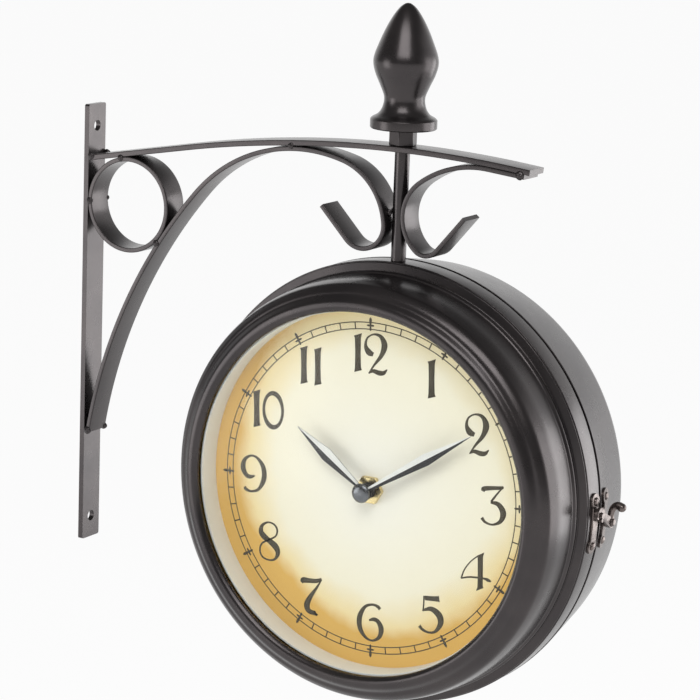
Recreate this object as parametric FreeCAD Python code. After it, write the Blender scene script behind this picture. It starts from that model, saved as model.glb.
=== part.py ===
import FreeCAD, Part
import math
import os

# Double sided clock on a wall bracket, in millimetres.
# Origin: midway between the two wall screw holes, on the face that lies on the wall.
# X runs away from the wall, Y from the front dial to the rear dial, Z up.

# ---- flat bar of the bracket -------------------------------------------------
BAR_WIDTH = 16.0
BAR_THICK = 3.0
SCROLL_THICK = 2.5

# ---- wall strip -------------------------------------------------------------
WALL_LENGTH = 249.0
WALL_HOLE_SPACING = 224.5
WALL_HOLE_RADIUS = 3.0
WALL_CORNER = 1.2

# ---- arm: starts on the wall strip, a shallow arch --------------------------
ARM_START_Z = 94.9
ARM_HEADING = 10.5
ARM_BEND_BACK = 129.17
ARM_BEND_RADIUS = 700.0
ARM_BEND_ANGLE = 17.05
ARM_HOLE_CLEAR = 0.2

# ---- brace that ends in the wall side scroll -----------------------------------
# radius and turn of each bend, and the straight tip, with lengths as shares of the brace's reach
BRACE_FOOT = 5.0
BRACE_HEADING = 80.2
BRACE_BENDS = ((1.5715, -31.6), (0.4806, -64.2), (0.1926, -69.4), (0.0697, -141.2))
BRACE_TIP = 0.1207
ROD_CLEAR = 0.3
BRACE_GAP = 0.4
WELD_GAP = 0.05

# ---- scroll under the free end of the arm -----------------------------------
TIP_SCROLL_SHIFT = 1.2
TIP_SCROLL_FLAT = 24.0
TIP_SCROLL_BENDS = ((56.1, 42.9), (22.9, 101.8), (8.9, 90.7))
TIP_SCROLL_TIP = 24.3

# ---- ring in the corner -----------------------------------------------------
RING_WALL = 2.5

# ---- rod, nut and finial ----------------------------------------------------
ARM_REACH = 197.0
ROD_RADIUS = 4.0
ROD_END_CHAMFER = 0.8
STUD_RADIUS = 2.5
STUD_LENGTH = 11.0
NUT_FLATS = 13.0
NUT_HEIGHT = 8.6
THREAD_CLEAR = 0.05
STUD_NUT_FLATS = 8.0
STUD_NUT_HEIGHT = 4.4
SEAT_GAP = 0.1
FINIAL_HEIGHT = 65.5
FINIAL_BORE_DEPTH = 14.0
FINIAL_SIDES = 32

# ---- clock case: radii are about the dial axis, depths run outward from the joint
CLOCK_DROP = 61.2
JOINT_Y = 8.2
JOINT_HALF_GAP = 0.8
SHEET = 1.2
BAND_RADIUS = 120.0
BAND_FRONT = 13.3
BAND_FLANGE = 1.0
BAND_INSIDE = 112.9
LIP_RADIUS = 117.6
LIP_REACH = 5.0
SHELL_EDGE_RADIUS = 120.2
SHELL_END_RADIUS = 113.8
SHELL_END_DEPTH = 39.5
CROWN_DEPTH = 48.4
LIP_DROP = 3.6
FLANGE_DROP = 4.6
FLANK_RADIUS = 113.8
FLANK_INSET = 1.8
NECK_INSIDE = 104.9
NECK_OUTSIDE = 106.1
NECK_REACH = 2.6

# ---- glass, liner and dial --------------------------------------------------
LINER_RADIUS = 97.0
LINER_WALL = 1.2
OPENING_CLEAR = 0.5
GLASS_LAP = 6.0
GLASS_THICK = 2.0
GLASS_SEAT = 0.3
DIAL_FRONT = 28.8
DIAL_THICK = 0.8
DIAL_RADIUS = 111.4
DIAL_HOLE = 4.2
CLIP_LENGTH = 11.0
CLIP_WIDTH = 14.0
CLIP_THICK = 1.5
CLIP_REACH = 101.0
CLIP_COUNT = 3
CLIP_GAP = 0.35

# ---- movement ---------------------------------------------------------------
MOVE_FRONT = 27.6
MOVE_BACK = 13.2
MOVE_WALL = 1.4
MOVE_CORNER = 4.0
LID_THICK = 1.2
BATTERY_RADIUS = 7.1
BATTERY_LENGTH = 49.2
CONTACT_ROOM = 2.0
BAY_CLEAR = 0.75
BATTERY_DEPTH = 18.9
BOSS_RADIUS = 4.0
BOSS_FRONT = 32.6
FIXING_NUT_FLATS = 14.0
FIXING_NUT_HEIGHT = 2.6
RUN_CLEAR = 0.05

# ---- gears: module, teeth and where they sit --------------------------------
GEAR_MODULE = 0.5
TOOTH_RISE = 0.26
TOOTH_DROP = 0.5
TOOTH_FOOT = 0.46
TOOTH_TIP = 0.2
PINION_TEETH = 10
SET_TEETH = 30
SET_PINION_TEETH = 8
HOUR_TEETH = 32
GEAR_DISTANCE = 10.0
TUBE_RADIUS = 2.5
ARBOR_RADIUS = 1.5
TUBE_FRONT = 36.2
ARBOR_FRONT = 38.8
KNOB_RADIUS = 7.0
KNOB_SIDES = 12
KNOB_GRIP = 0.6
KNOB_BACK = 6.8

# ---- hands ------------------------------------------------------------------
MINUTE_TURN = 57.5
MINUTE_LENGTH = 74.0
MINUTE_WIDEST = 44.0
MINUTE_WIDTH = 6.4
MINUTE_DEPTH = 37.4
HOUR_LENGTH = 51.0
HOUR_WIDEST = 29.0
HOUR_WIDTH = 7.6
HOUR_DEPTH = 35.2
HAND_PLATE = 0.4
HAND_RIDGE = 0.5
HAND_HUB = 4.6
CAP_RADIUS = 5.8
CAP_HEIGHT = 2.8
CAP_SIDES = 20

# ---- hinge on the wall side -------------------------------------------------
HINGE_RADIUS = 124.2
KNUCKLE_RADIUS = 2.6
HINGE_PIN_RADIUS = 1.1
HINGE_HALF = 15.0
KNUCKLE_HALF = 5.0
KNUCKLE_GAP = 0.2
LEAF_NEAR = 1.7
LEAF_FAR = 12.2
PAD_THICK = 1.1
PAD_FLATS = 4
PAD_CLEAR = 0.05

# ---- hook latch on the free side --------------------------------------------
LATCH_MID_Z = -3.5
LATCH_HALF = 16.2
PLATE_LOBE = 4.3
PLATE_NECK = 2.9
PLATE_DEPTH = 7.0
PEG_Z = 1.5
PEG_RADIUS = 1.6
PIVOT_Z = -5.0
PIVOT_RADIUS = 1.5
HOOK_BACK = 122.4
HOOK_THICK = 1.8
HOOK_WIDTH = 4.4
HOOK_CLEAR = 0.25

MOVE_HALF = BATTERY_LENGTH / 2 + CONTACT_ROOM + MOVE_WALL
BAY_TOP = -MOVE_HALF + MOVE_WALL + 2 * (BATTERY_RADIUS + BAY_CLEAR)
LIP_DEPTH = CROWN_DEPTH - LIP_DROP
FLANGE_DEPTH = CROWN_DEPTH - FLANGE_DROP
GLASS_OPENING = LINER_RADIUS + OPENING_CLEAR
GLASS_RADIUS = GLASS_OPENING + GLASS_LAP
GLASS_BACK = LIP_DEPTH - GLASS_SEAT - GLASS_THICK
CENTRE = FreeCAD.Vector(ARM_REACH, 0, -CLOCK_DROP)
X_AXIS = FreeCAD.Vector(1, 0, 0)
Y_AXIS = FreeCAD.Vector(0, 1, 0)
Z_AXIS = FreeCAD.Vector(0, 0, 1)
FRONT = -1
REAR = 1


def save(shape, name):
    shape.exportStep("parts/" + name + ".step")


# ---- helpers for bent strips -------------------------------------------------
def strip_path(start, heading, steps):
    # walks along straights and bends; each leg keeps its two ends and its middle with headings
    x, z = start
    angle = math.radians(heading)
    legs = []
    for radius, turn in steps:
        first = (x, z, angle)
        if radius == 0:
            middle = (x + turn / 2 * math.cos(angle), z + turn / 2 * math.sin(angle), angle)
            x = x + turn * math.cos(angle)
            z = z + turn * math.sin(angle)
        else:
            side = math.copysign(1.0, turn)
            swing = math.radians(turn)
            cx = x - side * radius * math.sin(angle)
            cz = z + side * radius * math.cos(angle)
            half = angle + swing / 2
            middle = (cx + side * radius * math.sin(half), cz - side * radius * math.cos(half), half)
            angle = angle + swing
            x = cx + side * radius * math.sin(angle)
            z = cz - side * radius * math.cos(angle)
        legs.append((radius, first, middle, (x, z, angle)))
    return legs


def beside(point, offset):
    x, z, angle = point
    return FreeCAD.Vector(x - offset * math.sin(angle), 0, z + offset * math.cos(angle))


def leg_edge(leg, offset):
    radius, first, middle, last = leg
    if radius == 0:
        return Part.LineSegment(beside(first, offset), beside(last, offset)).toShape()
    return Part.Arc(beside(first, offset), beside(middle, offset), beside(last, offset)).toShape()


def bent_strip(legs, thickness, width=BAR_WIDTH, middle=0.0):
    # flat bar on edge: the outline is the path set off to both sides, carried across the width
    above = [leg_edge(leg, thickness / 2) for leg in legs]
    below = [leg_edge(leg, -thickness / 2) for leg in legs]
    start_cap = Part.LineSegment(beside(legs[0][1], -thickness / 2), beside(legs[0][1], thickness / 2))
    end_cap = Part.LineSegment(beside(legs[-1][3], -thickness / 2), beside(legs[-1][3], thickness / 2))
    wire = Part.Wire(Part.__sortEdges__(above + below + [start_cap.toShape(), end_cap.toShape()]))
    bar = Part.Face(wire).extrude(Y_AXIS * width)
    bar.translate(Y_AXIS * (middle - width / 2))
    return bar


# ---- helpers for turned shapes -----------------------------------------------
def chords(first, via, last, step):
    # places along the round stretch from first through via to last, one every step degrees
    ax, ay = first
    bx, by = via
    cx, cy = last
    d = 2 * (ax * (by - cy) + bx * (cy - ay) + cx * (ay - by))
    a2, b2, c2 = ax * ax + ay * ay, bx * bx + by * by, cx * cx + cy * cy
    mx = (a2 * (by - cy) + b2 * (cy - ay) + c2 * (ay - by)) / d
    my = (a2 * (cx - bx) + b2 * (ax - cx) + c2 * (bx - ax)) / d
    radius = math.hypot(ax - mx, ay - my)
    start = math.atan2(ay - my, ax - mx)
    turn = (math.atan2(cy - my, cx - mx) - start) % (2 * math.pi)
    passed = (math.atan2(by - my, bx - mx) - start) % (2 * math.pi)
    if passed > turn:
        turn = turn - 2 * math.pi
    count = max(2, round(abs(math.degrees(turn)) / step))
    return [(mx + radius * math.cos(start + turn * k / count), my + radius * math.sin(start + turn * k / count))
            for k in range(1, count)] + [last]


def outline_face(points, plane, step=30):
    # points: a pair is a straight step, a pair of pairs is a round stretch through the first to the second
    places = [points[0]]
    for entry in points[1:]:
        if isinstance(entry[0], tuple):
            places.extend(chords(places[-1], entry[0], entry[1], step))
        else:
            places.append(entry)
    corners = [plane(place) for place in places]
    return Part.Face(Part.makePolygon(corners + [corners[0]]))


def case_point(side):
    # radius and depth from the joint, on the side of one dial
    def place(pair):
        return FreeCAD.Vector(ARM_REACH + pair[0], JOINT_Y + side * pair[1], -CLOCK_DROP)
    return place


def turned(points, side):
    return outline_face(points, case_point(side)).revolve(CENTRE, Y_AXIS, 360)


def disc(side, radius, low, high):
    return turned(((0, low), (radius, low), (radius, high), (0, high)), side)


def many_sided(profile, place, sides):
    # small turned shape with flats all round: one ring of corners for each radius and height
    rings = [[place(radius * math.cos(2 * math.pi * k / sides), radius * math.sin(2 * math.pi * k / sides), height)
              for k in range(sides)] for radius, height in profile]
    outlines = [rings[0], rings[-1]]
    for near, far in zip(rings, rings[1:]):
        for k in range(sides):
            after = (k + 1) % sides
            outlines.append([near[k], near[after], far[after], far[k]])
    body = Part.Solid(Part.Shell([Part.Face(Part.makePolygon(o + [o[0]])) for o in outlines]))
    if body.Volume < 0:
        body.reverse()
    return body


def at(side, across, up, depth):
    # a place in the case: across and up seen from that dial's own front
    return FreeCAD.Vector(ARM_REACH - side * across, JOINT_Y + side * depth, -CLOCK_DROP + up)


def rod_along(start, direction, radius, length):
    return Part.makeCylinder(radius, length, start, direction)


def box_in_case(side, across, up, depth):
    # a block between two limits in each direction
    a = at(side, across[0], up[0], depth[0])
    b = at(side, across[1], up[1], depth[1])
    low = FreeCAD.Vector(min(a.x, b.x), min(a.y, b.y), min(a.z, b.z))
    return Part.makeBox(abs(a.x - b.x), abs(a.y - b.y), abs(a.z - b.z), low)


def hexagon(flats, height, start, direction, turn=0):
    corner = flats / math.sqrt(3)
    points = [FreeCAD.Vector(corner * math.cos(math.radians(60 * k + turn)),
                             corner * math.sin(math.radians(60 * k + turn)), 0) for k in range(7)]
    body = Part.Face(Part.makePolygon(points)).extrude(Z_AXIS * height)
    body.Placement = FreeCAD.Placement(start, FreeCAD.Rotation(Z_AXIS, direction))
    return body


# ---- bracket ------------------------------------------------------------------
def arm_path():
    # straight from the wall, then one bend that begins a set length before the rod
    straight = (ARM_REACH - ARM_BEND_BACK - BAR_THICK) / math.cos(math.radians(ARM_HEADING))
    return strip_path((BAR_THICK, ARM_START_Z), ARM_HEADING,
                      ((0, straight), (ARM_BEND_RADIUS, -ARM_BEND_ANGLE)))


def arm_height(x, offset):
    # height over x of the face that lies offset above the middle of the arm
    first = arm_path()[1][1]
    if x < first[0]:
        return ARM_START_Z + (x - BAR_THICK) * math.tan(first[2]) + offset / math.cos(first[2])
    cx = first[0] + ARM_BEND_RADIUS * math.sin(first[2])
    cz = first[1] - ARM_BEND_RADIUS * math.cos(first[2])
    return cz + math.sqrt((ARM_BEND_RADIUS + offset) ** 2 - (x - cx) ** 2)


def brace_path():
    # from the wall to just short of the rod, as high as the arm above lets it
    reach = ARM_REACH - ROD_RADIUS - ROD_CLEAR - SCROLL_THICK / 2 - BRACE_FOOT
    steps = tuple((share * reach, turn) for share, turn in BRACE_BENDS) + ((0, BRACE_TIP * reach),)
    trial = strip_path((BRACE_FOOT, 0), BRACE_HEADING, steps)
    arc = leg_edge(trial[1], SCROLL_THICK / 2)
    foot = min(arm_height(spot.x, -BAR_THICK / 2) - spot.z for spot in arc.discretize(400)) - BRACE_GAP
    return strip_path((BRACE_FOOT, foot), BRACE_HEADING, steps)


def make_wall_strip():
    strip = Part.makeBox(BAR_THICK, BAR_WIDTH, WALL_LENGTH,
                         FreeCAD.Vector(0, -BAR_WIDTH / 2, -WALL_LENGTH / 2))
    corners = [e for e in strip.Edges if abs(e.Vertexes[0].X - e.Vertexes[1].X) > 1]
    strip = strip.makeFillet(WALL_CORNER, corners)
    for z in (-WALL_HOLE_SPACING / 2, WALL_HOLE_SPACING / 2):
        strip = strip.cut(rod_along(FreeCAD.Vector(-1, 0, z), X_AXIS, WALL_HOLE_RADIUS, BAR_THICK + 2))
    return strip


def make_arm_strip():
    arm = bent_strip(arm_path(), BAR_THICK)
    arm = arm.cut(Part.makeBox(BAR_THICK, 2 * BAR_WIDTH, WALL_LENGTH,
                               FreeCAD.Vector(0, -BAR_WIDTH, -WALL_LENGTH / 2)))
    return arm.cut(rod_along(FreeCAD.Vector(ARM_REACH, 0, 0), Z_AXIS, ROD_RADIUS + ARM_HOLE_CLEAR, WALL_LENGTH))


def make_brace_scroll():
    brace = bent_strip(brace_path(), SCROLL_THICK)
    block = Part.makeBox(BAR_THICK + 20, 2 * BAR_WIDTH, WALL_LENGTH,
                         FreeCAD.Vector(-20, -BAR_WIDTH, -WALL_LENGTH / 2))
    return brace.cut(block)


def make_tip_scroll():
    end = arm_path()[-1][3]
    drop = (BAR_THICK + SCROLL_THICK) / 2 + 0.02
    start = beside(end, -drop)
    steps = ((0, TIP_SCROLL_FLAT),) + TIP_SCROLL_BENDS + ((0, TIP_SCROLL_TIP),)
    heading = math.degrees(end[2]) + 180 + TIP_SCROLL_SHIFT
    return bent_strip(strip_path((start.x, start.z), heading, steps), SCROLL_THICK)


def ring_place(radius):
    # centre of a ring that touches the wall strip and the arm
    x = BAR_THICK + radius + WELD_GAP
    return x, arm_height(x, -BAR_THICK / 2) - (radius + WELD_GAP) / math.cos(math.radians(ARM_HEADING))


def ring_radius():
    # the ring grows until it touches the brace as well
    radius, first, middle, last = brace_path()[0]
    cx = first[0] + radius * math.sin(first[2])
    cz = first[1] - radius * math.cos(first[2])
    low, high = RING_WALL, ARM_START_Z
    for step in range(40):
        trial = (low + high) / 2
        x, z = ring_place(trial)
        if math.hypot(x - cx, z - cz) > radius + SCROLL_THICK / 2 + trial + WELD_GAP:
            low = trial
        else:
            high = trial
    return low


def make_ring():
    radius = ring_radius()
    x, z = ring_place(radius)
    start = FreeCAD.Vector(x, -BAR_WIDTH / 2, z)
    outer = rod_along(start, Y_AXIS, radius, BAR_WIDTH)
    return outer.cut(rod_along(start, Y_AXIS, radius - RING_WALL, BAR_WIDTH))


def crest():
    # highest point of the arm's upper face beside the rod
    return arm_height(ARM_REACH, BAR_THICK / 2) + SEAT_GAP


def make_rod():
    # plain rod with a thinner stud below that passes into the case
    shoulder = BAND_RADIUS - CLOCK_DROP + 0.02
    top = crest() + NUT_HEIGHT + FINIAL_BORE_DEPTH - 1
    rod = rod_along(FreeCAD.Vector(ARM_REACH, 0, shoulder), Z_AXIS, ROD_RADIUS, top - shoulder)
    rims = [e for e in rod.Edges if len(e.Vertexes) == 1 and e.BoundBox.ZMin > shoulder + 1]
    rod = rod.makeChamfer(ROD_END_CHAMFER, rims)
    stud = rod_along(FreeCAD.Vector(ARM_REACH, 0, shoulder - STUD_LENGTH), Z_AXIS, STUD_RADIUS, STUD_LENGTH)
    return rod.fuse(stud).removeSplitter()


def make_arm_nut():
    start = FreeCAD.Vector(ARM_REACH, 0, crest())
    nut = hexagon(NUT_FLATS, NUT_HEIGHT - 0.05, start, Z_AXIS, 42)
    return nut.cut(rod_along(start, Z_AXIS, ROD_RADIUS + THREAD_CLEAR, NUT_HEIGHT))


def finial_point(across, aside, height):
    return FreeCAD.Vector(ARM_REACH + across, aside, crest() + NUT_HEIGHT + height)


def make_finial():
    # base disc, hollow cone, neck, swelling bud and blunt tip
    profile = ((16.6, 0), (17.6, 1.2), (17.6, 5.4), (16.2, 6.6), (12.6, 8.6), (10.9, 12.4), (10.8, 16.6),
               (13.2, 22.8), (15.6, 28.2), (17.0, 33.4), (16.6, 38.2), (14.2, 44.8), (11.4, 51.4),
               (8.0, 57.8), (4.6, 62.6), (1.6, 64.9), (0.5, FINIAL_HEIGHT))
    body = many_sided(profile, finial_point, FINIAL_SIDES)
    return body.cut(rod_along(finial_point(0, 0, 0), Z_AXIS, ROD_RADIUS + THREAD_CLEAR, FINIAL_BORE_DEPTH))


def make_rod_nut():
    # under the roof of the hoop, two flats along the hoop so that it clears both flanges
    top = -CLOCK_DROP + LIP_RADIUS - SHEET - SEAT_GAP
    start = FreeCAD.Vector(ARM_REACH, 0, top - STUD_NUT_HEIGHT)
    nut = hexagon(STUD_NUT_FLATS, STUD_NUT_HEIGHT, start, Z_AXIS)
    return nut.cut(rod_along(start, Z_AXIS, STUD_RADIUS + THREAD_CLEAR, STUD_NUT_HEIGHT))


# ---- case -----------------------------------------------------------------------
def shell_radius(depth):
    slope = (SHELL_EDGE_RADIUS - SHELL_END_RADIUS) / (SHELL_END_DEPTH - JOINT_HALF_GAP)
    return SHELL_EDGE_RADIUS - slope * (depth - JOINT_HALF_GAP)


def crown():
    # rim that holds the glass, from the opening over its top
    return ((GLASS_OPENING, LIP_DEPTH), (GLASS_OPENING, LIP_DEPTH + 0.8),
            (GLASS_OPENING + 2.1, CROWN_DEPTH - 0.5), (GLASS_OPENING + 5.7, CROWN_DEPTH - 0.1))


def make_front_bezel():
    # crown round the glass, shallow valley, rounded flank, raised bead and flared shoulder
    back = BAND_FRONT + SEAT_GAP / 2
    return turned(crown() + ((FLANK_RADIUS - 7.0, CROWN_DEPTH - 2.8), (FLANK_RADIUS - 2.6, CROWN_DEPTH - 6.5),
                             (FLANK_RADIUS - 0.6, CROWN_DEPTH - 13.8), (FLANK_RADIUS, back + 4.85),
                             (FLANK_RADIUS + 1.2, back + 3.25), (FLANK_RADIUS + 0.6, back + 1.75),
                             (BAND_RADIUS - 0.5, back + 0.85), (BAND_RADIUS - 0.5, back),
                             (FLANK_RADIUS - FLANK_INSET, back), (FLANK_RADIUS - FLANK_INSET, LIP_DEPTH - 10.8),
                             (GLASS_RADIUS + 1.9, LIP_DEPTH)), FRONT)


def make_case_band():
    # hoop with a flange behind the bezel and a lip that reaches into the rear shell
    inside = LIP_RADIUS - SHEET
    band = turned(((BAND_RADIUS, BAND_FRONT), (BAND_RADIUS, JOINT_HALF_GAP), (LIP_RADIUS, JOINT_HALF_GAP),
                   (LIP_RADIUS, -LIP_REACH), (inside, -LIP_REACH), (inside, BAND_FRONT - BAND_FLANGE),
                   (BAND_INSIDE, BAND_FRONT - BAND_FLANGE), (BAND_INSIDE, BAND_FRONT)), FRONT)
    return band.cut(rod_along(FreeCAD.Vector(ARM_REACH, 0, 0), Z_AXIS, STUD_RADIUS + ARM_HOLE_CLEAR, 100))


def make_rear_shell():
    # tapered pan with a rounded corner and a flange that carries the rear bezel
    return turned(((SHELL_EDGE_RADIUS, JOINT_HALF_GAP), (SHELL_END_RADIUS, SHELL_END_DEPTH),
                   (SHELL_END_RADIUS - 1.3, FLANGE_DEPTH - 1.3), (SHELL_END_RADIUS - 4.4, FLANGE_DEPTH),
                   (NECK_OUTSIDE + SEAT_GAP, FLANGE_DEPTH), (NECK_OUTSIDE + SEAT_GAP, FLANGE_DEPTH - SHEET),
                   (SHELL_END_RADIUS - 4.8, FLANGE_DEPTH - SHEET),
                   (SHELL_END_RADIUS - SHEET, SHELL_END_DEPTH - 0.5),
                   (SHELL_EDGE_RADIUS - SHEET, JOINT_HALF_GAP)), REAR)


def make_rear_bezel():
    # the same crown, with a sloping rim and a neck that is pressed into the shell
    seat = FLANGE_DEPTH + SEAT_GAP / 2
    end = FLANGE_DEPTH - NECK_REACH
    return turned(crown() + ((SHELL_END_RADIUS - 6.6, CROWN_DEPTH - 2.8), (SHELL_END_RADIUS - 4.6, seat),
                             (NECK_OUTSIDE, seat), (NECK_OUTSIDE, end), (NECK_INSIDE, end),
                             (NECK_INSIDE, LIP_DEPTH)), REAR)


def make_glass(side):
    return disc(side, GLASS_RADIUS, GLASS_BACK, GLASS_BACK + GLASS_THICK)


def make_liner(side):
    # pale wall between glass and dial
    back = DIAL_FRONT + 0.02
    front = GLASS_BACK - 0.05
    outer = LINER_RADIUS + LINER_WALL
    return turned(((LINER_RADIUS, back), (LINER_RADIUS, front), (outer, front), (outer, back)), side)


def make_dial(side):
    back = DIAL_FRONT - DIAL_THICK
    return turned(((DIAL_HOLE, back), (DIAL_RADIUS, back), (DIAL_RADIUS, DIAL_FRONT), (DIAL_HOLE, DIAL_FRONT)), side)


def wall_inside(side, depth):
    return FLANK_RADIUS - FLANK_INSET if side == FRONT else shell_radius(depth) - SHEET


def make_dial_clips(side):
    # angle clips on the case wall that carry the dial; the liner presses it on them
    front = DIAL_FRONT - DIAL_THICK - 0.02
    back = front - CLIP_LENGTH
    near = wall_inside(side, front) - CLIP_GAP
    far = wall_inside(side, back) - CLIP_GAP
    profile = ((CLIP_REACH, front), (near, front), (far, back), (far - CLIP_THICK, back),
               (near - CLIP_THICK, front - CLIP_THICK), (CLIP_REACH, front - CLIP_THICK))
    blank = outline_face(profile, case_point(side)).extrude(Z_AXIS * CLIP_WIDTH)
    blank.translate(Z_AXIS * (-CLIP_WIDTH / 2))
    clips = []
    for k in range(CLIP_COUNT):
        clip = blank.copy()
        clip.rotate(CENTRE, Y_AXIS, -(30 + 360 / CLIP_COUNT * k))
        clips.append(clip)
    return Part.makeCompound(clips)


# ---- movement ---------------------------------------------------------------------
def rounded_block(side, half, low, high, corner):
    block = box_in_case(side, (-half, half), (-half, half), (low, high))
    edges = [e for e in block.Edges if abs(e.Vertexes[0].Y - e.Vertexes[1].Y) > 1]
    return block.makeFillet(corner, edges)


def make_movement_case(side):
    inner = MOVE_HALF - MOVE_WALL
    body = rounded_block(side, MOVE_HALF, MOVE_BACK, MOVE_FRONT, MOVE_CORNER)
    room = box_in_case(side, (-inner, inner), (BAY_TOP + MOVE_WALL, inner), (MOVE_BACK - 1, MOVE_FRONT - MOVE_WALL))
    bay = box_in_case(side, (-inner, inner), (-inner, BAY_TOP), (MOVE_BACK - 1, MOVE_FRONT - MOVE_WALL))
    body = body.cut(room).cut(bay)
    corners = rounded_block(side, MOVE_HALF, MOVE_BACK, MOVE_FRONT, MOVE_CORNER)
    body = body.common(corners)
    boss = rod_along(at(side, 0, 0, MOVE_FRONT - MOVE_WALL), Y_AXIS * side, BOSS_RADIUS,
                     BOSS_FRONT - MOVE_FRONT + MOVE_WALL)
    bore = rod_along(at(side, 0, 0, MOVE_BACK), Y_AXIS * side, TUBE_RADIUS + RUN_CLEAR, 30)
    return body.fuse(boss).cut(bore).removeSplitter()


def make_movement_lid(side):
    inner = MOVE_HALF
    lid = rounded_block(side, inner, MOVE_BACK - LID_THICK - 0.02, MOVE_BACK - 0.02, MOVE_CORNER)
    lid = lid.common(box_in_case(side, (-inner, inner), (BAY_TOP + 0.2, inner), (0, MOVE_BACK)))
    stem = rod_along(at(side, 0, GEAR_DISTANCE, 0), Y_AXIS * side, ARBOR_RADIUS + RUN_CLEAR, 30)
    pivot = rod_along(at(side, 0, 0, 0), Y_AXIS * side, ARBOR_RADIUS + RUN_CLEAR, 30)
    return lid.cut(stem).cut(pivot)


def make_battery(side):
    middle = (-MOVE_HALF + MOVE_WALL + BAY_TOP) / 2
    return rod_along(at(side, -BATTERY_LENGTH / 2, middle, BATTERY_DEPTH), X_AXIS * -side,
                     BATTERY_RADIUS, BATTERY_LENGTH)


def make_contacts(side):
    # plate for one pole and a bent leaf spring for the other
    middle = (-MOVE_HALF + MOVE_WALL + BAY_TOP) / 2
    inner = MOVE_HALF - MOVE_WALL
    plus = box_in_case(side, (inner - 0.42, inner - 0.02), (middle - 5, middle + 5), (14.5, 24.5))
    plate = box_in_case(side, (-inner + 0.02, -inner + 0.42), (middle - 5, middle + 5), (14.5, 24.5))
    leaf = [at(side, across, middle - 3, depth)
            for across, depth in ((-inner + 0.4, 15.0), (-inner + 1.6, 18.9), (-inner + 0.4, 22.8))]
    spring = Part.Face(Part.makePolygon(leaf + [leaf[0]])).extrude(Z_AXIS * 6)
    return Part.makeCompound([plus, plate.fuse(spring).removeSplitter()])


def make_motor(side):
    # square coil on its core, with the stator plate beside the gears
    coil = box_in_case(side, (-22, 0), (18.8, 26.0), (16.4, 23.6))
    core = box_in_case(side, (-25, 4), (21.2, 23.6), (19.4, 20.6))
    plate = box_in_case(side, (-25, -16), (0, 23.6), (24.8, 26.0))
    post = box_in_case(side, (-25, -22.5), (21.2, 23.6), (19.4, 26.0))
    return coil.fuse(core).fuse(plate).fuse(post).removeSplitter()


def make_fixing_nut(side):
    start = at(side, 0, 0, DIAL_FRONT + 0.03)
    nut = hexagon(FIXING_NUT_FLATS, FIXING_NUT_HEIGHT, start, Y_AXIS * side)
    return nut.cut(rod_along(start, Y_AXIS * side, BOSS_RADIUS + THREAD_CLEAR, FIXING_NUT_HEIGHT))


# ---- gears and hands ----------------------------------------------------------------
def gear(side, teeth, low, high, up, turn):
    # teeth are plain tapered blocks round the root circle
    pitch = GEAR_MODULE * teeth / 2
    root = pitch - TOOTH_DROP
    tip = pitch + TOOTH_RISE
    step = 2 * math.pi / teeth
    points = []
    for k in range(teeth):
        middle = step * k + turn
        for radius, width in ((root, -TOOTH_FOOT), (tip, -TOOTH_TIP), (tip, TOOTH_TIP), (root, TOOTH_FOOT)):
            angle = middle + width / radius
            points.append(at(side, radius * math.cos(angle), radius * math.sin(angle) + up, low))
    points.append(points[0])
    return Part.Face(Part.makePolygon(points)).extrude(Y_AXIS * (side * (high - low)))


def make_hour_wheel(side):
    wheel = gear(side, HOUR_TEETH, 22.6, 23.8, 0, math.pi / 2)
    tube = rod_along(at(side, 0, 0, 22.6), Y_AXIS * side, TUBE_RADIUS, TUBE_FRONT - 22.6)
    bore = rod_along(at(side, 0, 0, 22), Y_AXIS * side, ARBOR_RADIUS + RUN_CLEAR, 20)
    return wheel.fuse(tube).cut(bore).removeSplitter()


def make_minute_wheel(side):
    # long arbor from the lid to the front, with the pinion that drives the set wheel
    pinion = gear(side, PINION_TEETH, 16.2, 20.6, 0, math.pi / 2 + math.pi / PINION_TEETH)
    arbor = rod_along(at(side, 0, 0, 12.2), Y_AXIS * side, ARBOR_RADIUS, ARBOR_FRONT - 12.2)
    return pinion.fuse(arbor).removeSplitter()


def make_set_wheel(side):
    # knob outside, wheel driven by the minute pinion, pinion that drives the hour wheel
    up = GEAR_DISTANCE
    wheel = gear(side, SET_TEETH, 18.2, 19.4, up, -math.pi / 2)
    pinion = gear(side, SET_PINION_TEETH, 19.4, 24.6, up, -math.pi / 2 + math.pi / SET_PINION_TEETH)
    stem = rod_along(at(side, 0, up, 11.0), Y_AXIS * side, ARBOR_RADIUS, 8)
    rim = []
    for k in range(KNOB_SIDES * 2):
        angle = math.pi * k / KNOB_SIDES
        radius = KNOB_RADIUS - KNOB_GRIP * (k % 2)
        rim.append(at(side, radius * math.cos(angle), up + radius * math.sin(angle), KNOB_BACK))
    knob = Part.Face(Part.makePolygon(rim + [rim[0]])).extrude(Y_AXIS * (side * 4.6))
    return wheel.fuse(pinion).fuse(stem).fuse(knob).removeSplitter()


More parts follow.
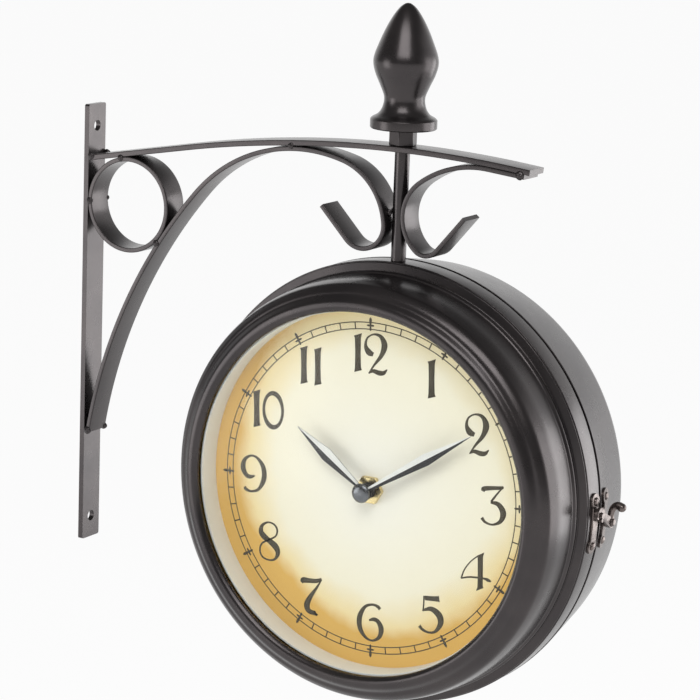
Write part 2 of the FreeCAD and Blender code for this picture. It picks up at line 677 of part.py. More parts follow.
def hand(side, turn, length, widest, width, low, hub, bore):
    # lance shaped blade with a ridge down the middle, seen from its own front
    angle = math.radians(turn)

    def spot(along, aside, depth):
        a = along * math.sin(angle) + aside * math.cos(angle)
        b = along * math.cos(angle) - aside * math.sin(angle)
        return at(side, a, b, depth)

    rim = ((1.0, 0.9), (widest, width / 2), (length, 0.15), (length, -0.15), (widest, -width / 2), (1.0, -0.9))
    under = [spot(l, w, low) for l, w in rim]
    over = [spot(l, w, low + HAND_PLATE) for l, w in rim]
    near = spot(1.0, 0, low + HAND_PLATE + 0.2)
    peak = spot(widest, 0, low + HAND_PLATE + HAND_RIDGE)
    far = spot(length, 0, low + HAND_PLATE + 0.05)
    faces = [under, [over[0], over[1], peak, near], [over[1], over[2], far, peak], [over[2], over[3], far],
             [over[3], over[4], peak, far], [over[4], over[5], near, peak], [over[5], over[0], near]]
    for k in range(6):
        faces.append([under[k], under[(k + 1) % 6], over[(k + 1) % 6], over[k]])
    flat = []
    for face in faces:
        if len(face) == 4 and peak in face:
            flat.extend([[face[0], face[1], peak], split_rest(face, peak)])
        else:
            flat.append(face)
    shell = Part.Shell([Part.Face(Part.makePolygon(f + [f[0]])) for f in flat if len(set(map(tuple, f))) == len(f)])
    blade = Part.Solid(shell)
    if blade.Volume < 0:
        blade.reverse()
    eye = rod_along(at(side, 0, 0, low), Y_AXIS * side, hub, HAND_PLATE + 0.3)
    hole = rod_along(at(side, 0, 0, low - 1), Y_AXIS * side, bore, 4)
    return blade.fuse(eye).cut(hole).removeSplitter()


def split_rest(face, peak):
    spot = face.index(peak)
    return [face[0], peak, face[3]] if spot == 2 else [face[1], face[2], face[3]]


def make_hour_hand(side):
    return hand(side, 300 + MINUTE_TURN / 12, HOUR_LENGTH, HOUR_WIDEST, HOUR_WIDTH, HOUR_DEPTH,
                HAND_HUB, TUBE_RADIUS + 0.02)


def make_minute_hand(side):
    return hand(side, MINUTE_TURN, MINUTE_LENGTH, MINUTE_WIDEST, MINUTE_WIDTH, MINUTE_DEPTH,
                HAND_HUB, ARBOR_RADIUS + 0.02)


def make_hand_cap(side):
    # low dome that closes the hands
    low = MINUTE_DEPTH + HAND_PLATE + 0.55
    profile = ((CAP_RADIUS, low), (CAP_RADIUS, low + 0.7), (CAP_RADIUS * 0.72, low + CAP_HEIGHT * 0.75),
               (CAP_RADIUS * 0.3, low + CAP_HEIGHT))
    cap = many_sided(profile, lambda across, up, depth: at(side, across, up, depth), CAP_SIDES)
    return cap.cut(rod_along(at(side, 0, 0, low), Y_AXIS * side, ARBOR_RADIUS + 0.03, ARBOR_FRONT - low + 0.1))


# ---- hinge --------------------------------------------------------------------------
def wall_outside(side, depth):
    return BAND_RADIUS if side == FRONT else shell_radius(depth)


def pad(side, near, far, middle, half):
    # plate bent round the case in short flats, carried along the slope of the wall
    step = 2 * half / PAD_FLATS
    base = (wall_outside(side, near) + PAD_CLEAR) / math.cos(math.radians(step / 2))
    angles = [middle - half + step * k for k in range(PAD_FLATS + 1)]
    corners = [radial_place(side, angle, base, near) for angle in angles]
    corners.extend(radial_place(side, angle, base + PAD_THICK, near) for angle in reversed(angles))
    slope = outward(middle) * (wall_outside(side, far) - wall_outside(side, near))
    return Part.Face(Part.makePolygon(corners + [corners[0]])).extrude(Y_AXIS * (side * (far - near)) + slope)


def radial_place(side, angle, radius, depth):
    swing = math.radians(angle)
    return FreeCAD.Vector(ARM_REACH + radius * math.cos(swing), JOINT_Y + side * depth,
                          -CLOCK_DROP + radius * math.sin(swing))


def outward(angle):
    swing = math.radians(angle)
    return FreeCAD.Vector(math.cos(swing), 0, math.sin(swing))


def hinge_line():
    return FreeCAD.Vector(ARM_REACH - HINGE_RADIUS, JOINT_Y, -CLOCK_DROP)


def knuckle(low, high):
    return rod_along(hinge_line() + Z_AXIS * low, Z_AXIS, KNUCKLE_RADIUS, high - low)


def make_hinge_leaf(side):
    # curved pad on the case, webs that bridge to the knuckles, knuckles round the pin
    half = math.degrees(HINGE_HALF / BAND_RADIUS)
    leaf = pad(side, LEAF_NEAR, LEAF_FAR, 180, half)
    if side == FRONT:
        spans = ((-HINGE_HALF, -KNUCKLE_HALF - KNUCKLE_GAP), (KNUCKLE_HALF + KNUCKLE_GAP, HINGE_HALF))
    else:
        spans = ((-KNUCKLE_HALF, KNUCKLE_HALF),)
    line = hinge_line()
    near = JOINT_Y + side * 0.9
    far = JOINT_Y + side * KNUCKLE_RADIUS
    for low, high in spans:
        web = Part.makeBox(4.6, abs(near - far), high - low, FreeCAD.Vector(line.x, min(near, far), line.z + low))
        web = web.cut(disc(side, BAND_RADIUS + 0.6, -5, 20))
        leaf = leaf.fuse(web).fuse(knuckle(low, high))
    bore = rod_along(line - Z_AXIS * 30, Z_AXIS, HINGE_PIN_RADIUS + (0.02 if side == FRONT else RUN_CLEAR), 60)
    return leaf.cut(bore).removeSplitter()


def make_hinge_pin():
    reach = HINGE_HALF + 0.6
    return rod_along(hinge_line() - Z_AXIS * reach, Z_AXIS, HINGE_PIN_RADIUS, 2 * reach)


# ---- latch ----------------------------------------------------------------------------
def plate_outline(side):
    # two round lobes joined by a narrower neck, in the plane the latch lies in
    middle = JOINT_Y + side * PLATE_DEPTH
    low = -CLOCK_DROP + LATCH_MID_Z - LATCH_HALF + PLATE_LOBE
    high = -CLOCK_DROP + LATCH_MID_Z + LATCH_HALF - PLATE_LOBE
    x = ARM_REACH + 100
    shape = rod_along(FreeCAD.Vector(x, middle, low), X_AXIS, PLATE_LOBE, 40)
    shape = shape.fuse(rod_along(FreeCAD.Vector(x, middle, high), X_AXIS, PLATE_LOBE, 40))
    neck = Part.makeBox(40, 2 * PLATE_NECK, high - low, FreeCAD.Vector(x, middle - PLATE_NECK, low))
    return shape.fuse(neck)


def make_plate(side):
    half = math.degrees((LATCH_HALF + 2) / BAND_RADIUS)
    return pad(side, 1.6, 12.4, math.degrees(LATCH_MID_Z / BAND_RADIUS), half).common(plate_outline(side))


def make_strike_plate():
    plate = make_plate(FRONT)
    root = FreeCAD.Vector(ARM_REACH + BAND_RADIUS + 0.3, JOINT_Y - PLATE_DEPTH, -CLOCK_DROP + PEG_Z)
    length = HOOK_BACK + HOOK_THICK + 0.9 - BAND_RADIUS
    peg = rod_along(root, X_AXIS, PEG_RADIUS, length)
    collar = rod_along(root, X_AXIS, PEG_RADIUS + 0.9, HOOK_BACK - HOOK_CLEAR - BAND_RADIUS - 0.3)
    return plate.fuse(peg).fuse(collar).removeSplitter()


def make_hook_plate():
    plate = make_plate(REAR)
    root = FreeCAD.Vector(ARM_REACH + shell_radius(PLATE_DEPTH) + 0.5, JOINT_Y + PLATE_DEPTH, -CLOCK_DROP + PIVOT_Z)
    collar = rod_along(root, X_AXIS, PIVOT_RADIUS + 1.5, ARM_REACH + HOOK_BACK - HOOK_CLEAR - root.x)
    bore = rod_along(root - X_AXIS * 5, X_AXIS, PIVOT_RADIUS + 0.02, 20)
    return plate.fuse(collar).cut(bore).removeSplitter()


def make_latch_pivot():
    # rivet that the hook turns on
    place = FreeCAD.Vector(ARM_REACH, JOINT_Y + PLATE_DEPTH, -CLOCK_DROP + PIVOT_Z)
    inner = shell_radius(PLATE_DEPTH) + 0.3
    outer = HOOK_BACK + HOOK_THICK + 0.1
    shank = rod_along(place + X_AXIS * inner, X_AXIS, PIVOT_RADIUS, outer - inner)
    head = Part.makeCone(2.6, 1.6, 1.3, place + X_AXIS * outer, X_AXIS)
    return shank.fuse(head).removeSplitter()


def latch_point(low):
    # along the line from the pivot to the peg, and square to it upwards
    run = math.hypot(2 * PLATE_DEPTH, PEG_Z - PIVOT_Z)
    ey = -2 * PLATE_DEPTH / run
    ez = (PEG_Z - PIVOT_Z) / run

    def place(pair):
        along, aside = pair
        return FreeCAD.Vector(ARM_REACH + low, JOINT_Y + PLATE_DEPTH + along * ey + aside * ez,
                              -CLOCK_DROP + PIVOT_Z + along * ez - aside * ey)
    return place


def make_latch_hook():
    # arm from the pivot over the peg, open below so that it lifts off, with a curled finger tab
    peg = math.hypot(2 * PLATE_DEPTH, PEG_Z - PIVOT_Z)
    room = PEG_RADIUS + HOOK_CLEAR
    outline = ((0, -3.2), (peg - 4.4, -1.7), ((peg - 3.0, -3.0), (peg - room, -2.0)), (peg - room, 0),
               ((peg, room), (peg + room, 0)), (peg + room, -2.0), ((peg + room + 0.9, -2.9), (peg + 3.9, -1.8)),
               (peg + 4.2, 0.4), ((peg, 4.4), (peg - 3.8, 2.4)), (2.2, 2.3), ((-3.2, 0.2), (0, -3.2)))
    arm = outline_face(outline, latch_point(HOOK_BACK)).extrude(X_AXIS * HOOK_THICK)
    middle = JOINT_Y + PLATE_DEPTH
    start = (ARM_REACH + HOOK_BACK + HOOK_THICK / 2, -CLOCK_DROP + PIVOT_Z + 1.9)
    steps = ((0, 3.0), (3.0, -78), (0, 3.2), (2.4, 60), (0, 1.2))
    tab = bent_strip(strip_path(start, 90, steps), HOOK_THICK - 0.2, HOOK_WIDTH, middle)
    bore = rod_along(FreeCAD.Vector(ARM_REACH + 100, middle, -CLOCK_DROP + PIVOT_Z), X_AXIS,
                     PIVOT_RADIUS + RUN_CLEAR, 40)
    return arm.fuse(tab).cut(bore).removeSplitter()


def main():
    os.makedirs("parts", exist_ok=True)
    save(make_wall_strip(), "wall_strip")
    save(make_arm_strip(), "arm_strip")
    save(make_brace_scroll(), "brace_scroll")
    save(make_tip_scroll(), "arm_scroll")
    save(make_ring(), "bracket_ring")
    save(make_rod(), "hanger_rod")
    save(make_arm_nut(), "arm_nut")
    save(make_finial(), "finial")
    save(make_rod_nut(), "rod_nut")
    save(make_front_bezel(), "front_bezel")
    save(make_case_band(), "case_band")
    save(make_rear_shell(), "rear_shell")
    save(make_rear_bezel(), "rear_bezel")
    for side, word in ((FRONT, "front"), (REAR, "rear")):
        save(make_glass(side), word + "_glass")
        save(make_liner(side), word + "_liner")
        save(make_dial(side), word + "_dial")
        save(make_dial_clips(side), word + "_dial_clips")
        save(make_movement_case(side), word + "_movement_case")
        save(make_movement_lid(side), word + "_movement_lid")
        save(make_battery(side), word + "_battery")
        save(make_contacts(side), word + "_contacts")
        save(make_motor(side), word + "_motor")
        save(make_fixing_nut(side), word + "_fixing_nut")
        save(make_hour_wheel(side), word + "_hour_wheel")
        save(make_minute_wheel(side), word + "_minute_wheel")
        save(make_set_wheel(side), word + "_set_wheel")
        save(make_hour_hand(side), word + "_hour_hand")
        save(make_minute_hand(side), word + "_minute_hand")
        save(make_hand_cap(side), word + "_hand_cap")
        save(make_hinge_leaf(side), "hinge_" + word + "_leaf")
    save(make_hinge_pin(), "hinge_pin")
    save(make_strike_plate(), "strike_plate")
    save(make_hook_plate(), "hook_plate")
    save(make_latch_pivot(), "latch_pivot")
    save(make_latch_hook(), "latch_hook")


main()
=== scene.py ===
import math
import bmesh
import bpy
import numpy as np
from mathutils import Matrix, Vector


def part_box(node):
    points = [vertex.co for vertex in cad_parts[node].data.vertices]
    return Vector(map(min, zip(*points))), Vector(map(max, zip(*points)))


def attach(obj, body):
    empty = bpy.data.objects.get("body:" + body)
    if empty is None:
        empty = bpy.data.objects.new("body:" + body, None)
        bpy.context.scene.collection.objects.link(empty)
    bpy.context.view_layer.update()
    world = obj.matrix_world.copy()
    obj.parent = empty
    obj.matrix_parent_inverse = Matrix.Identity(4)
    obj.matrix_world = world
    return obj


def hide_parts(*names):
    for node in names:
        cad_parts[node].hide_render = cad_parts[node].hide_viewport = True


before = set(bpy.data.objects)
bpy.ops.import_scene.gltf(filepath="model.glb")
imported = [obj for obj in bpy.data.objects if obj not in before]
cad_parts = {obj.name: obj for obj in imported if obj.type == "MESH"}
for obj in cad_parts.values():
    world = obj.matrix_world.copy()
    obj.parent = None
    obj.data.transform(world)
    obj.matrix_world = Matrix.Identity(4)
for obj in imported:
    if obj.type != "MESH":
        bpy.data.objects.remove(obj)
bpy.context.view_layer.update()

# %% [markdown]
# # A double sided station clock on a wall bracket
# The frame that was just loaded is the clock as an assembly of plain solids, in metres.
# X runs away from the wall, Y from the front dial to the rear dial, Z up.
# Every cell below dresses one family of pieces: first its shape, then its finish.

# %% the places that many pieces share, in millimetres
HUB = np.array([197.0, 8.2, -61.2])
FRONT, REAR = -1, 1
WORDS = {FRONT: "front", REAR: "rear"}
BODY = {FRONT: "frame", REAR: "rear_cover"}
DIAL_FACE = 28.8
print("pieces in the frame:", len(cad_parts))

# %% [markdown]
# ## Finishes
# The whole metal work is one satin paint, nearly black with a brown cast. Real powder paint is not
# flat: it has a fine orange peel and the gloss wanders a little. Both come from noise on Object
# coordinates, so the pattern stays with the metal. One helper wires noise, colour and bump.

# %% colour and an empty material
def linear(red, green, blue):
    """Screen values 0 to 255 to linear light: ((c/255 + 0.055) / 1.055) to the power 2.4."""
    c = np.array([red, green, blue]) / 255
    return (*np.where(c > 0.04045, ((c + 0.055) / 1.055) ** 2.4, c / 12.92).tolist(), 1.0)


def new_material(name):
    """A material with an empty node tree but for Principled, output and Object coordinates."""
    material = bpy.data.materials.new(name)
    material.use_nodes = True
    nodes, links = material.node_tree.nodes, material.node_tree.links
    return material, nodes, links, nodes["Principled BSDF"], nodes.new("ShaderNodeTexCoord")


# %% small node helpers
def noise(nodes, links, coords, scale, detail=3.0, rough=0.55):
    """Noise whose features are about 1/scale metres across."""
    node = nodes.new("ShaderNodeTexNoise")
    node.inputs["Scale"].default_value = scale
    node.inputs["Detail"].default_value = detail
    node.inputs["Roughness"].default_value = rough
    links.new(coords.outputs["Object"], node.inputs["Vector"])
    return node.outputs["Fac"]


def ramp(nodes, links, value, stops):
    """A colour ramp: stops are (place, colour)."""
    node = nodes.new("ShaderNodeValToRGB")
    while len(node.color_ramp.elements) < len(stops):
        node.color_ramp.elements.new(0.5)
    for element, (place, colour) in zip(node.color_ramp.elements, stops):
        element.position = place
        element.color = colour
    links.new(value, node.inputs["Fac"])
    return node.outputs["Color"]


def spread(nodes, links, value, low, high):
    """Maps noise from its usual 0.3 to 0.7 to the range low to high."""
    node = nodes.new("ShaderNodeMapRange")
    node.inputs["From Min"].default_value = 0.3
    node.inputs["From Max"].default_value = 0.7
    node.inputs["To Min"].default_value = low
    node.inputs["To Max"].default_value = high
    links.new(value, node.inputs["Value"])
    return node.outputs["Result"]


def math_node(nodes, links, operation, *values):
    """One step of arithmetic; each value is a number or a socket."""
    node = nodes.new("ShaderNodeMath")
    node.operation = operation
    for place, value in enumerate(values):
        if isinstance(value, (int, float)):
            node.inputs[place].default_value = value
        else:
            links.new(value, node.inputs[place])
    return node.outputs[0]


def bump(nodes, links, shader, height, distance):
    """Small relief: height times distance, in metres."""
    node = nodes.new("ShaderNodeBump")
    node.inputs["Distance"].default_value = distance
    links.new(height, node.inputs["Height"])
    links.new(node.outputs["Normal"], shader.inputs["Normal"])


# %% one finish
def finish_material(name, dark, light, patch, rough, metallic=0.0, peel=0.0, peel_scale=900, coat=0.0,
                    level=0.5):
    """A plain finish: colour between dark and light in patches, gloss that wanders, fine peel relief."""
    material, nodes, links, shader, coords = new_material(name)
    cloud = noise(nodes, links, coords, patch)
    links.new(ramp(nodes, links, cloud, ((0.3, dark), (0.7, light))), shader.inputs["Base Color"])
    links.new(spread(nodes, links, noise(nodes, links, coords, patch * 2.7), rough[0], rough[1]),
              shader.inputs["Roughness"])
    shader.inputs["Metallic"].default_value = metallic
    shader.inputs["Coat Weight"].default_value = coat
    shader.inputs["Coat Roughness"].default_value = 0.22
    shader.inputs["Specular IOR Level"].default_value = level
    if peel:
        bump(nodes, links, shader, noise(nodes, links, coords, peel_scale, 2.0), peel)
    return material


# %% the metal, plastic and print finishes
PAINT = finish_material("satin_black_paint", linear(58, 54, 55), linear(70, 65, 65), 30, (0.26, 0.31),
                        metallic=0.85, peel=0.00002, coat=0.3)
# partly painted sheen: latch, hinge parts and screw heads get a lighter copy of the case paint, partly rubbed
# wear and partly a painted sheen for the highlights they catch
WORN_AND_SHEEN_PAINT = finish_material("rubbed_and_sheen_latch_paint", linear(92, 84, 82), linear(128, 118, 114), 160,
                             (0.22, 0.34), metallic=0.9, peel=0.00004, peel_scale=700)
STEEL = finish_material("zinc_steel", linear(150, 148, 142), linear(172, 170, 164), 90, (0.28, 0.42),
                        metallic=1.0, peel=0.00002, peel_scale=1500)
BRASS = finish_material("yellow_brass", linear(222, 200, 142), linear(234, 216, 166), 120, (0.2, 0.32),
                        metallic=1.0, peel=0.00001, peel_scale=2200)
COPPER = finish_material("enamelled_copper", linear(150, 78, 44), linear(176, 98, 58), 300, (0.3, 0.4),
                         metallic=0.9, peel=0.00005, peel_scale=3500)
LINER = finish_material("pale_liner_paint", linear(224, 224, 219), linear(232, 232, 228), 18, (0.45, 0.58),
                        peel=0.00002)
BLACK_PLASTIC = finish_material("black_moulded_plastic", linear(28, 28, 29), linear(36, 36, 38), 60,
                                (0.42, 0.58), peel=0.00003, peel_scale=2600)
WHITE_PLASTIC = finish_material("white_gear_plastic", linear(226, 224, 214), linear(236, 234, 226), 80,
                                (0.3, 0.42))
# painted shade: the dark side of the hands, a shaded copy of the hand paint
HAND_PAINTED_SHADE = finish_material("hand_shaded_side", linear(40, 40, 42), linear(52, 52, 54), 120, (0.28, 0.4),
                            metallic=0.4, peel=0.00001)
CAP_METAL = finish_material("hand_cap_metal", linear(104, 106, 110), linear(122, 124, 128), 200, (0.18, 0.26),
                            metallic=0.9)
# painted highlight: the pale side of the hands, a lit copy of the hand paint
HAND_PAINTED_HIGHLIGHT = finish_material("hand_lit_side", linear(222, 222, 218), linear(234, 234, 230), 120, (0.35, 0.45))
BATTERY = finish_material("battery_sleeve", linear(38, 52, 78), linear(46, 60, 88), 60, (0.28, 0.36),
                          metallic=0.3, peel=0.00001, coat=0.4)
INK = finish_material("dial_ink", linear(72, 66, 52), linear(86, 80, 66), 160, (0.6, 0.7), level=0.3)
print("finishes:", len(bpy.data.materials))

# %% [markdown]
# The dials are printed paper that looks aged: cream in the middle, gold towards the rim and most of
# all low on the wall's side. Distance from the hub drives the colour, and broad noise breaks the
# rings. The back of the card is bare, so the colour switches at the depth of the printed face.

# %% aged paper of the dials
def aged_paper():
    """Tint = 9.3 x distance from the hub + lean towards one low corner + 0.3 x noise, through a ramp.
    Printed where |Y - joint| exceeds the face's depth less 0.2 mm; elsewhere bare card."""
    material, nodes, links, shader, coords = new_material("aged_dial_paper")
    centre = nodes.new("ShaderNodeMapping")
    centre.inputs["Location"].default_value = (-HUB[0] / 1000, 0.0, -HUB[2] / 1000)
    centre.inputs["Scale"].default_value = (1.0, 0.0, 1.0)
    links.new(coords.outputs["Object"], centre.inputs["Vector"])
    length = nodes.new("ShaderNodeVectorMath")
    length.operation = "LENGTH"
    links.new(centre.outputs["Vector"], length.inputs[0])
    lean = nodes.new("ShaderNodeVectorMath")
    lean.operation = "DOT_PRODUCT"
    links.new(centre.outputs["Vector"], lean.inputs[0])
    lean.inputs[1].default_value = (-1.0, 0.0, -1.6)
    total = math_node(nodes, links, "MULTIPLY_ADD", length.outputs["Value"], 9.3, lean.outputs["Value"])
    drift = math_node(nodes, links, "MULTIPLY_ADD", noise(nodes, links, coords, 14, 4.0, 0.6), 0.30, total)
    colour = ramp(nodes, links, drift, ((0.25, linear(248, 245, 233)), (0.74, linear(246, 240, 217)),
                                        (0.91, linear(241, 222, 170)), (1.0, linear(222, 178, 94))))
    split = nodes.new("ShaderNodeSeparateXYZ")
    links.new(coords.outputs["Object"], split.inputs["Vector"])
    offset = math_node(nodes, links, "SUBTRACT", split.outputs["Y"], float(HUB[1]) / 1000)
    depth = math_node(nodes, links, "ABSOLUTE", offset)
    card = nodes.new("ShaderNodeMix")
    card.data_type = "RGBA"
    card.inputs["A"].default_value = linear(206, 200, 184)
    links.new(math_node(nodes, links, "GREATER_THAN", depth, (DIAL_FACE - 0.2) / 1000), card.inputs["Factor"])
    links.new(colour, card.inputs["B"])
    links.new(card.outputs["Result"], shader.inputs["Base Color"])
    shader.inputs["Roughness"].default_value = 0.62
    shader.inputs["Specular IOR Level"].default_value = 0.25
    bump(nodes, links, shader, noise(nodes, links, coords, 1800), 0.00001)
    return material


PAPER = aged_paper()

# %% [markdown]
# The glass is a thin clear pane. Fresnel decides how much is mirror and how much is clear, which is
# what a flat pane does, and costs far less light than true refraction. Only the face that a ray comes
# in by may mirror: from within the pane, Fresnel would turn back all slanting light.

# %% clear glass
def clear_pane():
    """Transparent mixed with a soft gloss by Fresnel, on the outer face only."""
    material = bpy.data.materials.new("clear_dial_glass")
    material.use_nodes = True
    nodes, links = material.node_tree.nodes, material.node_tree.links
    nodes.remove(nodes["Principled BSDF"])
    clear = nodes.new("ShaderNodeBsdfTransparent")
    clear.inputs["Color"].default_value = (0.985, 0.99, 0.985, 1.0)
    gloss = nodes.new("ShaderNodeBsdfGlossy")
    gloss.inputs["Roughness"].default_value = 0.12
    fresnel = nodes.new("ShaderNodeFresnel")
    fresnel.inputs["IOR"].default_value = 1.4
    face = nodes.new("ShaderNodeNewGeometry")
    entering = math_node(nodes, links, "SUBTRACT", 1.0, face.outputs["Backfacing"])
    share = math_node(nodes, links, "MULTIPLY", fresnel.outputs["Fac"], entering)
    mix = nodes.new("ShaderNodeMixShader")
    links.new(share, mix.inputs["Fac"])
    links.new(clear.outputs["BSDF"], mix.inputs[1])
    links.new(gloss.outputs["BSDF"], mix.inputs[2])
    links.new(mix.outputs["Shader"], nodes["Material Output"].inputs["Surface"])
    return material


GLASS = clear_pane()

# %% [markdown]
# ## Surfaces from arrays
# A shape here is a grid of points: rows along one parameter, columns along the other. Quads join
# neighbours, and a direction that comes back to its start wraps. The sign of the enclosed volume
# tells whether the faces look out, so a shape that came out inside out is simply flipped.

# %% grid to mesh
def quads(rows, columns, wrap_rows, wrap_columns):
    """Corner numbers of the quads of a grid, counted row by row."""
    a, b = np.meshgrid(np.arange(rows if wrap_rows else rows - 1),
                       np.arange(columns if wrap_columns else columns - 1), indexing="ij")
    c, d = (a + 1) % rows, (b + 1) % columns
    return np.stack([a * columns + b, c * columns + b, c * columns + d, a * columns + d], -1).reshape(-1, 4)


# %% mesh to piece
def make_piece(name, points, faces, body, slot, material, sharp=32.0, replaces=()):
    """Points in millimetres and faces become one clean, outward looking object that rides on a body."""
    mesh = bpy.data.meshes.new(name)
    places = (np.asarray(points).reshape(-1, 3) * 0.001).tolist()
    mesh.from_pydata(places, [], [list(map(int, face)) for face in faces])
    work = bmesh.new()
    work.from_mesh(mesh)
    bmesh.ops.remove_doubles(work, verts=work.verts, dist=2e-7)
    bmesh.ops.dissolve_degenerate(work, edges=work.edges, dist=1e-7)
    if work.calc_volume(signed=True) < 0:
        bmesh.ops.reverse_faces(work, faces=work.faces)
    work.to_mesh(mesh)
    work.free()
    return dress(bpy.data.objects.new(name, mesh), body, material, sharp, replaces)


def dress(piece, body, material, sharp=32.0, replaces=()):
    """Links a piece, shades it smooth but for edges sharper than sharp degrees, and puts it on its body."""
    bpy.context.scene.collection.objects.link(piece)
    piece.data.materials.clear()
    piece.data.materials.append(material)
    piece.data.shade_smooth()
    piece.data.set_sharp_from_angle(angle=math.radians(sharp))
    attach(piece, body)
    if replaces:
        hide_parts(*replaces)
    return piece


# %% outlines
def rounded(outline, radii, steps=5):
    """Closed outline with each corner P eased: (1-t)^2 A + 2t(1-t) P + t^2 B, where A and B lie a
    radius before and after the corner."""
    p = np.array(outline, float)
    back, ahead = np.roll(p, 1, 0) - p, np.roll(p, -1, 0) - p
    lb, la = np.linalg.norm(back, axis=1), np.linalg.norm(ahead, axis=1)
    cut = np.minimum(np.broadcast_to(radii, lb.shape), 0.49 * np.minimum(lb, la))
    start, end = p + back * (cut / lb)[:, None], p + ahead * (cut / la)[:, None]
    t = np.linspace(0, 1, steps + 1)[None, :, None]
    eased = (1 - t) ** 2 * start[:, None] + 2 * t * (1 - t) * p[:, None] + t ** 2 * end[:, None]
    return eased.reshape(-1, 2)


def flowing(points, per=8):
    """Open smooth line through the points a, b, c, d of each stretch: half of
    (2b + (c-a)t + (2a-5b+4c-d)t^2 + (3b-a-3c+d)t^3) between b and c."""
    p = np.array(points, float)
    p = np.vstack([2 * p[0] - p[1], p, 2 * p[-1] - p[-2]])
    a, b, c, d = p[:-3, None], p[1:-2, None], p[2:-1, None], p[3:, None]
    t = np.linspace(0, 1, per, endpoint=False)[None, :, None]
    line = 0.5 * (2 * b + (c - a) * t + (2 * a - 5 * b + 4 * c - d) * t ** 2
                  + (3 * b - a - 3 * c + d) * t ** 3)
    return np.vstack([line.reshape(-1, p.shape[1]), p[-2]])


# %% turned surfaces
def lathe(outline, origin, axis, across, segments):
    """Turned surface: origin + r (cos t across + sin t (axis x across)) + h axis, for each (r, h)."""
    outline, axis, across = np.asarray(outline), np.array(axis, float), np.array(across, float)
    t = np.linspace(0, 2 * math.pi, segments, endpoint=False)
    spoke = np.cos(t)[:, None] * across + np.sin(t)[:, None] * np.cross(axis, across)
    return np.array(origin) + outline[:, None, :1] * spoke[None] + outline[:, None, 1:] * axis


def turned_piece(name, outline, origin, axis, across, segments, body, slot, material, **more):
    """A lathe surface whose outline is a closed loop, as one solid piece."""
    surface = lathe(outline, origin, axis, across, segments)
    rows, columns = surface.shape[:2]
    piece = make_piece(name, surface, quads(rows, columns, True, True), body, slot, material, **more)
    print(name, "turned,", len(piece.data.polygons), "faces")
    return piece


# %% [markdown]
# ## The case
# Front ring, hoop, rear pan and rear ring are spun or cast rings, so each is one outline turned about
# the dial axis. The outline carries the roundings that catch the light: the crown round the glass, the
# soft shoulder of the flank, the bead behind it.

# %% rings of the case
def ring_of_case(name, outline, radii, side, body, segments=288):
    """Outline of (radius, depth from the joint) about the dial axis, corners rounded."""
    return turned_piece(name + "_turned", rounded(outline, radii), HUB, (0, side, 0), (1, 0, 0), segments,
                        body, "black_paint", PAINT, replaces=(name,))


ring_of_case("front_bezel",
             ((97.5, 44.8), (97.5, 46.3), (99.4, 48.25), (103.4, 48.2), (106.2, 45.2), (108.4, 44.6),
              (111.6, 42.0), (113.3, 34.6), (113.8, 19.6), (115.2, 18.6), (115.3, 16.4), (114.3, 15.1),
              (119.4, 14.3), (119.5, 13.36), (112.0, 13.36), (112.0, 34.0), (105.4, 44.8)),
             (0.3, 0.9, 1.6, 1.8, 1.0, 2.2, 2.6, 6.0, 1.0, 0.9, 0.9, 0.8, 0.4, 0.3, 0.3, 2.0, 0.5),
             FRONT, "frame")
ring_of_case("case_band",
             ((120.0, 13.3), (120.0, 0.8), (117.6, 0.8), (117.6, -5.0), (116.4, -5.0), (116.4, 12.3),
              (112.9, 12.3), (112.9, 13.3)), (0.5, 0.5, 0.3, 0.3, 0.3, 0.5, 0.2, 0.2), FRONT, "frame")
ring_of_case("rear_shell",
             ((120.2, 0.8), (113.8, 39.5), (112.6, 42.6), (109.4, 43.8), (106.2, 43.8), (106.2, 42.6),
              (109.0, 42.6), (112.6, 39.0), (119.0, 0.8)),
             (0.5, 2.4, 2.0, 1.4, 0.2, 0.2, 1.0, 1.5, 0.2), REAR, "rear_cover")
ring_of_case("rear_bezel",
             ((97.5, 44.8), (97.5, 46.3), (99.4, 48.25), (103.4, 48.2), (107.0, 45.7), (109.2, 43.86),
              (106.1, 43.86), (106.1, 41.2), (104.9, 41.2), (104.9, 44.8)),
             (0.3, 0.9, 1.6, 1.8, 1.2, 0.4, 0.2, 0.2, 0.2, 0.3), REAR, "rear_cover")

# %% [markdown]
# Inside each ring a pane of glass rests on the lip, and a pale liner hides the gap between glass and
# dial. Both are turned like the rings. The dial stays the flat solid that it is and only gets paper.

# %% glass, liner and dial of each side
PANE_OUTLINE = rounded(((0, 42.5), (103.5, 42.5), (103.5, 44.5), (0, 44.5)), (0, 0.3, 0.3, 0))
LINER_OUTLINE = rounded(((97.0, 28.82), (97.0, 42.45), (98.2, 42.45), (98.2, 28.82)), 0.2)
for side, word in WORDS.items():
    turned_piece(word + "_pane", PANE_OUTLINE, HUB, (0, side, 0), (1, 0, 0), 160, BODY[side],
                 "clear_glass", GLASS, replaces=(word + "_glass",))
    turned_piece(word + "_liner_wall", LINER_OUTLINE, HUB, (0, side, 0), (1, 0, 0), 288, BODY[side],
                 "liner_paint", LINER, replaces=(word + "_liner",))
    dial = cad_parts[word + "_dial"]
    dial.data.materials.clear()
    dial.data.materials.append(PAPER)

# %% [markdown]
# ## The bracket
# The bracket is flat bar, bent cold. Bar is a rounded rectangle carried along a line of straights and
# bends that lies in the plane Y = 0. The edge rounding of half a millimetre is what draws the bright
# lines along the bar in the photograph.

